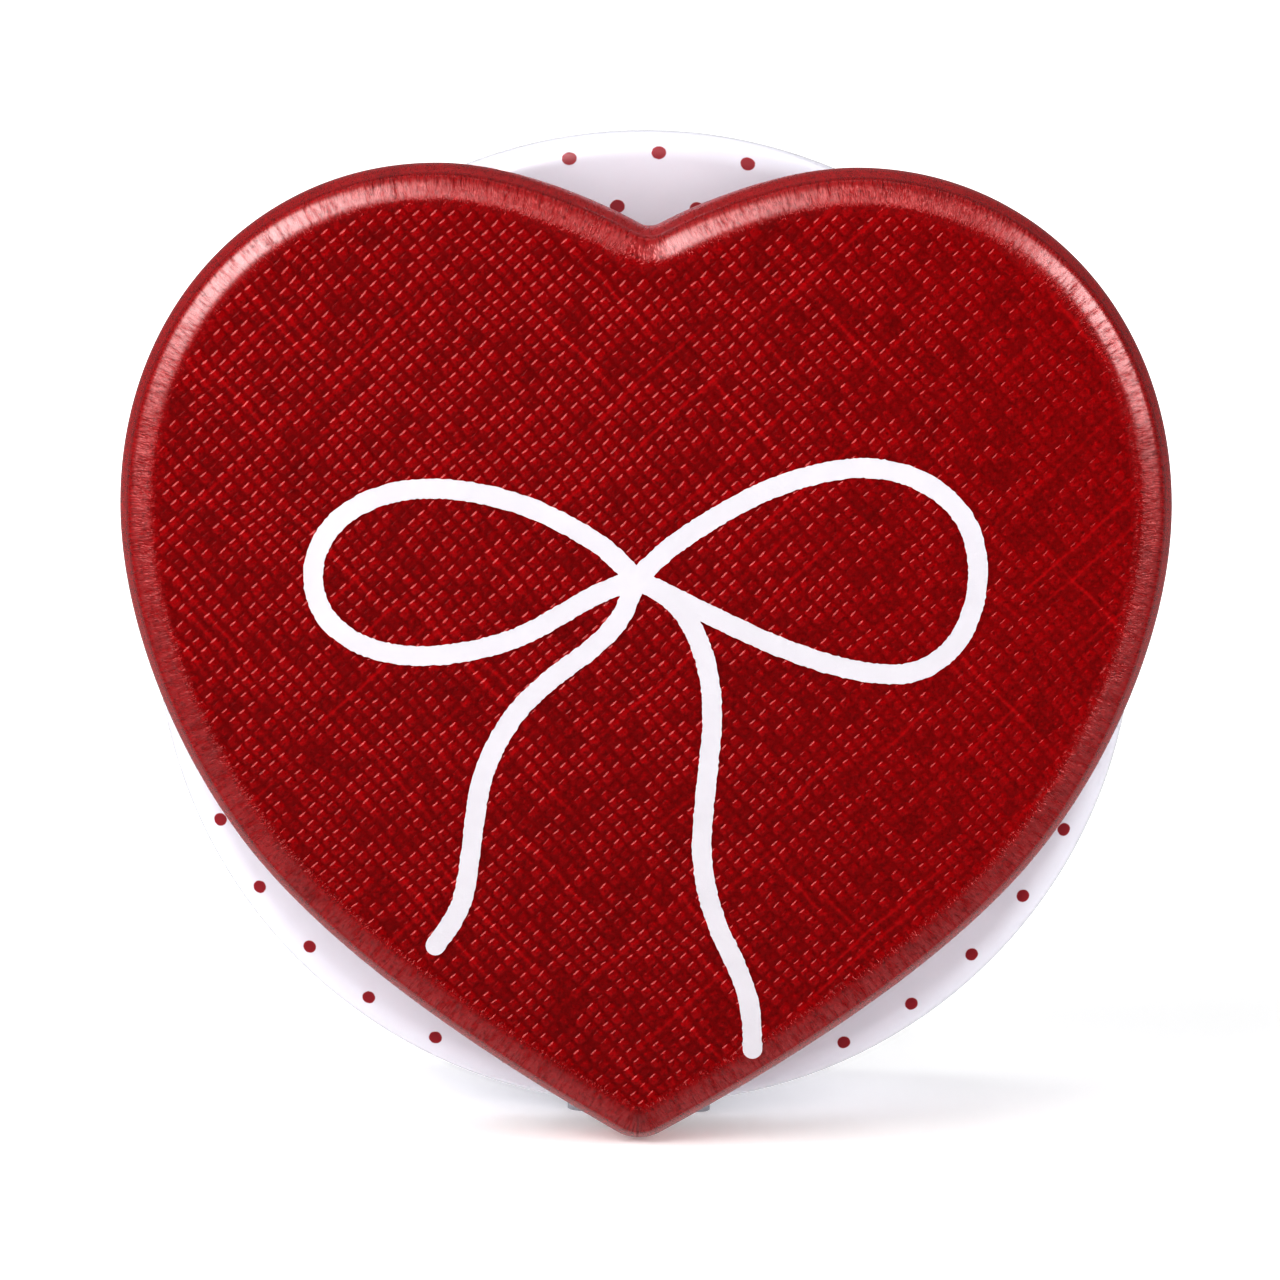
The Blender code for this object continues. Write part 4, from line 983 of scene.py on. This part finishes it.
def make_winding_key():
    """A stamped butterfly key: rounded wings with a pressed dish, on a turned hub."""
    hub_start = behind_face(KEY_LOW.y)
    thick = 1.15
    lobe = (7.0, 55.0)
    half = [(2.2, 47.6), (2.6, 48.6), *arc(lobe, 6.0, -135, 152, 40), (0.9, 57.4), (0, 57.2)]
    outline = half + [(-x, depth) for x, depth in half[-2::-1]]
    wing = slab(outline, DRUM_Z - thick, DRUM_Z + thick, at, 0.75, 4)
    dishes = []
    for side in (-1, 1):
        for face in (-1, 1):
            profile = [(0, -0.5), (3.4, -0.5), (3.4, 0.05), (2.9, 0.42), (0, 0.5)]
            centre = at(side * lobe[0], lobe[1], DRUM_Z + face * thick)
            dishes.append(lathe(profile, centre, (0, 0, -face), 40))
    wing = cut(wing, *dishes)
    profile = [(0, hub_start), (2.9, hub_start), (3.2, hub_start + 0.3), (3.2, 46.2), (2.9, 46.5),
               (2.9, 47.0), (3.2, 47.3), (3.2, 50.6), (2.4, 51.8), (0, 52.0)]
    hub = lathe(profile, at(0, 0, DRUM_Z), steps=48)
    socket = lathe([(0, hub_start - 1), (1.8, hub_start - 1), (1.8, 48.6), (0, 48.6)],
                   at(0, 0, DRUM_Z), steps=32)
    piece("butterfly_key", cut(joined(wing, hub), socket), "nickel", "winder",
          ["winding_key"], 40)


def make_wire_stand():
    """The folding wire stand: one bent wire, and a ribbed rubber sleeve on its foot."""
    reach = 41.0
    top, foot = 22.7, 28.0
    bend, corner = 1.8, 4.0
    sleeve = GRIP_HIGH.x / MM
    half = [(17.0, 0), (18.5, 0), (20.0, 0), *arc((top - bend, bend), bend, -90, 0, 9)]
    for i in range(1, 8):
        t = i / 8
        half.append((top + (foot - 0.06 - top) * t, bend + (reach - corner - bend) * t))
    half += arc((foot - corner, reach - corner), corner, 5, 90, 15)
    half += [(18.0, reach), (sleeve, reach), (7.0, reach), (0, reach)]
    outline = half + [(-x, r) for x, r in half[-2::-1]]
    centre = (GRIP_LOW + GRIP_HIGH) / 2
    down = Vector((0, centre.y - PIVOT.y, centre.z - PIVOT.z)).normalized()
    line = [PIVOT + Vector((x * MM, 0, 0)) + down * r * MM for x, r in outline]
    piece("stand_wire", tube(line, 1.2, 24), "nickel", "stand", ["stand_bail"])

    outer = (GRIP_HIGH.z - GRIP_LOW.z) / 2 / MM
    ribs = 14
    profile = [(1.25, sleeve), (1.25, -sleeve), (outer - 0.35, -sleeve), (outer, 0.35 - sleeve)]
    pitch = (2 * sleeve - 2.4) / ribs
    for i in range(ribs):
        start = 1.2 - sleeve + i * pitch
        profile += [(outer, start + 0.15 * pitch), (outer - 0.22, start + 0.3 * pitch),
                    (outer - 0.22, start + 0.7 * pitch), (outer, start + 0.85 * pitch)]
    profile += [(outer, sleeve - 0.35), (outer - 0.35, sleeve)]
    mesh = lathe(profile, centre, (1, 0, 0), 36)
    piece("stand_sleeve", mesh, "rubber", "stand", ["stand_grip"])


def make_stop_knob():
    """The stop's slider knob, ribbed for a fingertip."""
    low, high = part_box("stop_slider")
    inner, outer = behind_face(low.y), behind_face(high.y)
    x, z = middle_of("stop_slider")
    top = COVER_REAR + 0.3
    knob = slab(rounded(bar(x, z, 3, 2.6), 0.9, 5), top, outer, flat_on_case, 0.4, 3)
    neck = slab(rounded(bar(x, z, 1.5, 1.2), 0.4), inner, top + 0.5, flat_on_case)
    grooves = []
    for i in range(-1, 2):
        groove = bar(x + i * 1.5, z, 0.35, 1.9)
        grooves.append(slab(rounded(groove, 0.3), outer - 0.5, outer + 1, flat_on_case))
    mesh = cut(joined(knob, neck), *grooves)
    piece("stop_knob", mesh, "black_plastic", "stop", ["stop_slider"])


# ---------------------------------------------------------------- movement


MOVEMENT_FINISHES = {
    "pressed_board": ("heart_board",),
    "foam_grey": ("mounting_disc",),
    "cast_zinc": ("bedplate",),
    "brass": ("barrel_bridge", "cylinder_bearing", "governor_frame", "arbor_bush", "spring_barrel",
              "barrel_cover", "cylinder", "cylinder_wheel", "governor_wheel"),
    "spring_steel": ("mainspring", "click_spring", "comb"),
    "black_plastic": ("governor_fan",),
}


def finish_movement():
    """Give each carried-over piece of the movement its own metal."""
    by_node = {node: name for name, nodes in MOVEMENT_FINISHES.items() for node in nodes}
    for node, obj in frame["nodes"].items():
        if obj.hide_render:
            continue
        obj.data.materials.clear()
        obj.data.materials.append(bpy.data.materials[by_node.get(node, "steel")])


# ---------------------------------------------------------------- stage


def soft_box(name, place, target, size, power, diffuse=True):
    """A rectangular studio light that points at a target, or only its shine."""
    light = bpy.data.lights.new(name, "AREA")
    light.shape = "RECTANGLE"
    light.size, light.size_y = size
    light.energy = power
    obj = bpy.data.objects.new(name, light)
    bpy.context.scene.collection.objects.link(obj)
    obj.location = place
    obj.rotation_euler = (Vector(target) - Vector(place)).to_track_quat("-Z", "Y").to_euler()
    obj.visible_diffuse = diffuse


def make_stage(settings):
    """A pale floor that glows with painted light, the studio lights, a white sky and the camera."""
    scene = bpy.context.scene
    shape = bmesh.new()
    bmesh.ops.create_circle(shape, cap_ends=True, segments=96, radius=60.0)
    mesh = bpy.data.meshes.new("floor")
    shape.to_mesh(mesh)
    shape.free()
    floor = bpy.data.objects.new("floor", mesh)
    scene.collection.objects.link(floor)
    finish = Finish("sweep_paper", specular_ior_level=0.1, emission_strength=1.0)
    # painted light: the floor glows, dim near its middle and brighter away from it, so that the far floor
    # turns white
    glow = finish.node("ShaderNodeVectorMath", {"operation": "LENGTH"}, (finish.coordinates(),), 1)
    finish.feed("Emission Color", finish.mix(glow.between(0.12, 0.9), (0.22,) * 3, (1.0,) * 3))
    tone = finish.noise(300.0, 2.0)
    pale = tuple(channel * 0.985 for channel in settings.sweep)
    finish.feed("Base Color", finish.mix(tone, pale, settings.sweep))
    finish.feed("Roughness", tone * 0.1 + 0.55)
    mesh.materials.append(finish.done())
    floor.visible_glossy = False

    heart = at(0, 0, 52)
    soft_box("left_box", (-0.36, -0.37, 0.42), heart, (0.6, 0.4), 2.8)
    soft_box("left_shine", (-0.36, -0.37, 0.42), heart, (0.56, 0.34), 14.5, diffuse=False)
    soft_box("right_box", (0.48, -0.3, 0.4), heart, (0.3, 0.26), 1.0)
    soft_box("right_shine", (0.5, -0.34, 0.33), heart, (0.4, 0.36), 3.6, diffuse=False)
    soft_box("top_box", (0.0, 0.15, 0.85), heart, (0.7, 0.5), 1.8)

    world = bpy.data.worlds.new("studio")
    scene.world = world
    world.use_nodes = True
    world.node_tree.nodes.clear()
    studio = Graph(world.node_tree)
    way = studio.node("ShaderNodeTexCoord")
    rear, up = [studio.node("ShaderNodeSeparateXYZ", None, (way,), output=axis) for axis in "YZ"]
    below = studio.node("ShaderNodeMapRange", None, {
        "Value": up, "From Min": 0.1, "From Max": -0.9, "To Min": 0.0, "To Max": 0.55})
    behind = studio.node("ShaderNodeMapRange", None, {
        "Value": rear, "From Min": -0.5, "From Max": 0.5, "To Min": 0.08, "To Max": 0.24})
    white = (1.0, 1.0, 1.0, 1.0)
    lit = studio.node("ShaderNodeBackground", None, (white, behind + below))
    seen = studio.node("ShaderNodeBackground", None, (white, 1.0))
    looked_at = studio.node("ShaderNodeLightPath", output="Is Camera Ray")
    blend = studio.node("ShaderNodeMixShader", None, (looked_at, lit, seen))
    out = studio.tree.nodes.new("ShaderNodeOutputWorld")
    studio.tree.links.new(blend.link, out.inputs["Surface"])

    camera = bpy.data.cameras.new("camera")
    camera.lens = settings.lens
    camera.sensor_width = 36.0
    camera.clip_start = 0.01
    viewer = bpy.data.objects.new("camera", camera)
    scene.collection.objects.link(viewer)
    aim = at(-0.45, 0, 51.7)
    back = Vector((0, -math.cos(settings.elevation), math.sin(settings.elevation)))
    viewer.location = aim + back * settings.distance
    roll = Quaternion((0, 0, 1), settings.roll)
    viewer.rotation_euler = ((-back).to_track_quat("-Z", "Y") @ roll).to_euler()
    scene.camera = viewer
    scene.view_settings.view_transform = "Standard"
    scene.view_settings.look = "High Contrast"


# ---------------------------------------------------------------- add-on


class MUSICBOX_OT_finishes(bpy.types.Operator):
    """Make the materials that the other pieces use"""

    bl_idname = "musicbox.finishes"
    bl_label = "Finishes"

    def execute(self, context):
        make_finishes(context.scene)
        return {"FINISHED"}


class MUSICBOX_OT_heart_skin(bpy.types.Operator):
    """Make the leatherette heart with its padded edge and pleated hem"""

    bl_idname = "musicbox.heart_skin"
    bl_label = "Heart skin"

    def execute(self, context):
        make_heart_skin(context.scene.music_box_heart)
        return {"FINISHED"}


class MUSICBOX_OT_heart_back(bpy.types.Operator):
    """Line the back of the heart's board with paper"""

    bl_idname = "musicbox.heart_back"
    bl_label = "Heart lining"

    def execute(self, context):
        make_heart_back(context.scene.music_box_heart)
        return {"FINISHED"}


class MUSICBOX_OT_bow(bpy.types.Operator):
    """Print the bow on the heart"""

    bl_idname = "musicbox.bow"
    bl_label = "Printed bow"

    def execute(self, context):
        make_bow(context.scene.music_box_heart)
        return {"FINISHED"}


class MUSICBOX_OT_drum(bpy.types.Operator):
    """Turn the dotted drum shell"""

    bl_idname = "musicbox.drum"
    bl_label = "Drum shell"

    def execute(self, context):
        make_drum_shell(context.scene.music_box_drum)
        return {"FINISHED"}


class MUSICBOX_OT_rear_cover(bpy.types.Operator):
    """Make the rear cover with its sound slots, lugs and winding arrow"""

    bl_idname = "musicbox.rear_cover"
    bl_label = "Rear cover"

    def execute(self, context):
        make_rear_cover(context.scene.music_box_drum)
        return {"FINISHED"}


class MUSICBOX_OT_case_screws(bpy.types.Operator):
    """Make the four screws of the rear cover"""

    bl_idname = "musicbox.case_screws"
    bl_label = "Case screws"

    def execute(self, context):
        make_case_screws()
        return {"FINISHED"}


class MUSICBOX_OT_foot_pad(bpy.types.Operator):
    """Make the silicone pad under the drum"""

    bl_idname = "musicbox.foot_pad"
    bl_label = "Foot pad"

    def execute(self, context):
        make_foot_pad()
        return {"FINISHED"}


class MUSICBOX_OT_winding_key(bpy.types.Operator):
    """Make the butterfly winding key"""

    bl_idname = "musicbox.winding_key"
    bl_label = "Winding key"

    def execute(self, context):
        make_winding_key()
        return {"FINISHED"}


class MUSICBOX_OT_wire_stand(bpy.types.Operator):
    """Bend the wire stand and fit its rubber sleeve"""

    bl_idname = "musicbox.wire_stand"
    bl_label = "Wire stand"

    def execute(self, context):
        make_wire_stand()
        return {"FINISHED"}


class MUSICBOX_OT_stop_knob(bpy.types.Operator):
    """Make the slider knob that stops the tune"""

    bl_idname = "musicbox.stop_knob"
    bl_label = "Stop knob"

    def execute(self, context):
        make_stop_knob()
        return {"FINISHED"}


class MUSICBOX_OT_movement(bpy.types.Operator):
    """Give the comb movement inside the drum its metals"""

    bl_idname = "musicbox.movement"
    bl_label = "Movement metals"

    def execute(self, context):
        finish_movement()
        return {"FINISHED"}


class MUSICBOX_OT_stage(bpy.types.Operator):
    """Set up the floor, the lights and the camera"""

    bl_idname = "musicbox.stage"
    bl_label = "Stage"

    def execute(self, context):
        make_stage(context.scene.music_box_stage)
        return {"FINISHED"}


OPERATORS = (
    MUSICBOX_OT_finishes,
    MUSICBOX_OT_heart_skin,
    MUSICBOX_OT_heart_back,
    MUSICBOX_OT_bow,
    MUSICBOX_OT_drum,
    MUSICBOX_OT_rear_cover,
    MUSICBOX_OT_case_screws,
    MUSICBOX_OT_foot_pad,
    MUSICBOX_OT_winding_key,
    MUSICBOX_OT_wire_stand,
    MUSICBOX_OT_stop_knob,
    MUSICBOX_OT_movement,
    MUSICBOX_OT_stage,
)
SETTINGS = {
    "music_box_heart": HeartSettings,
    "music_box_drum": DrumSettings,
    "music_box_metals": MetalSettings,
    "music_box_stage": StageSettings,
}


class MUSICBOX_PT_panel(bpy.types.Panel):
    """Settings and steps of the music box"""

    bl_label = "Music Box"
    bl_idname = "MUSICBOX_PT_panel"
    bl_space_type = "VIEW_3D"
    bl_region_type = "UI"
    bl_category = "Music Box"

    def draw(self, context):
        for name, group in SETTINGS.items():
            column = self.layout.column(align=True)
            column.label(text=group.__doc__)
            for setting in group.__annotations__:
                column.prop(getattr(context.scene, name), setting)
        steps = self.layout.column()
        for operator in OPERATORS:
            steps.operator(operator.bl_idname)


def register():
    for item in (*SETTINGS.values(), *OPERATORS, MUSICBOX_PT_panel):
        bpy.utils.register_class(item)
    for name, group in SETTINGS.items():
        setattr(bpy.types.Scene, name, PointerProperty(type=group))


def unregister():
    for name in SETTINGS:
        delattr(bpy.types.Scene, name)
    for item in (MUSICBOX_PT_panel, *reversed(OPERATORS), *reversed(SETTINGS.values())):
        bpy.utils.unregister_class(item)


def main():
    register()
    for operator in OPERATORS:
        group, name = operator.bl_idname.split(".")
        getattr(getattr(bpy.ops, group), name)()


if __name__ == "__main__":
    main()
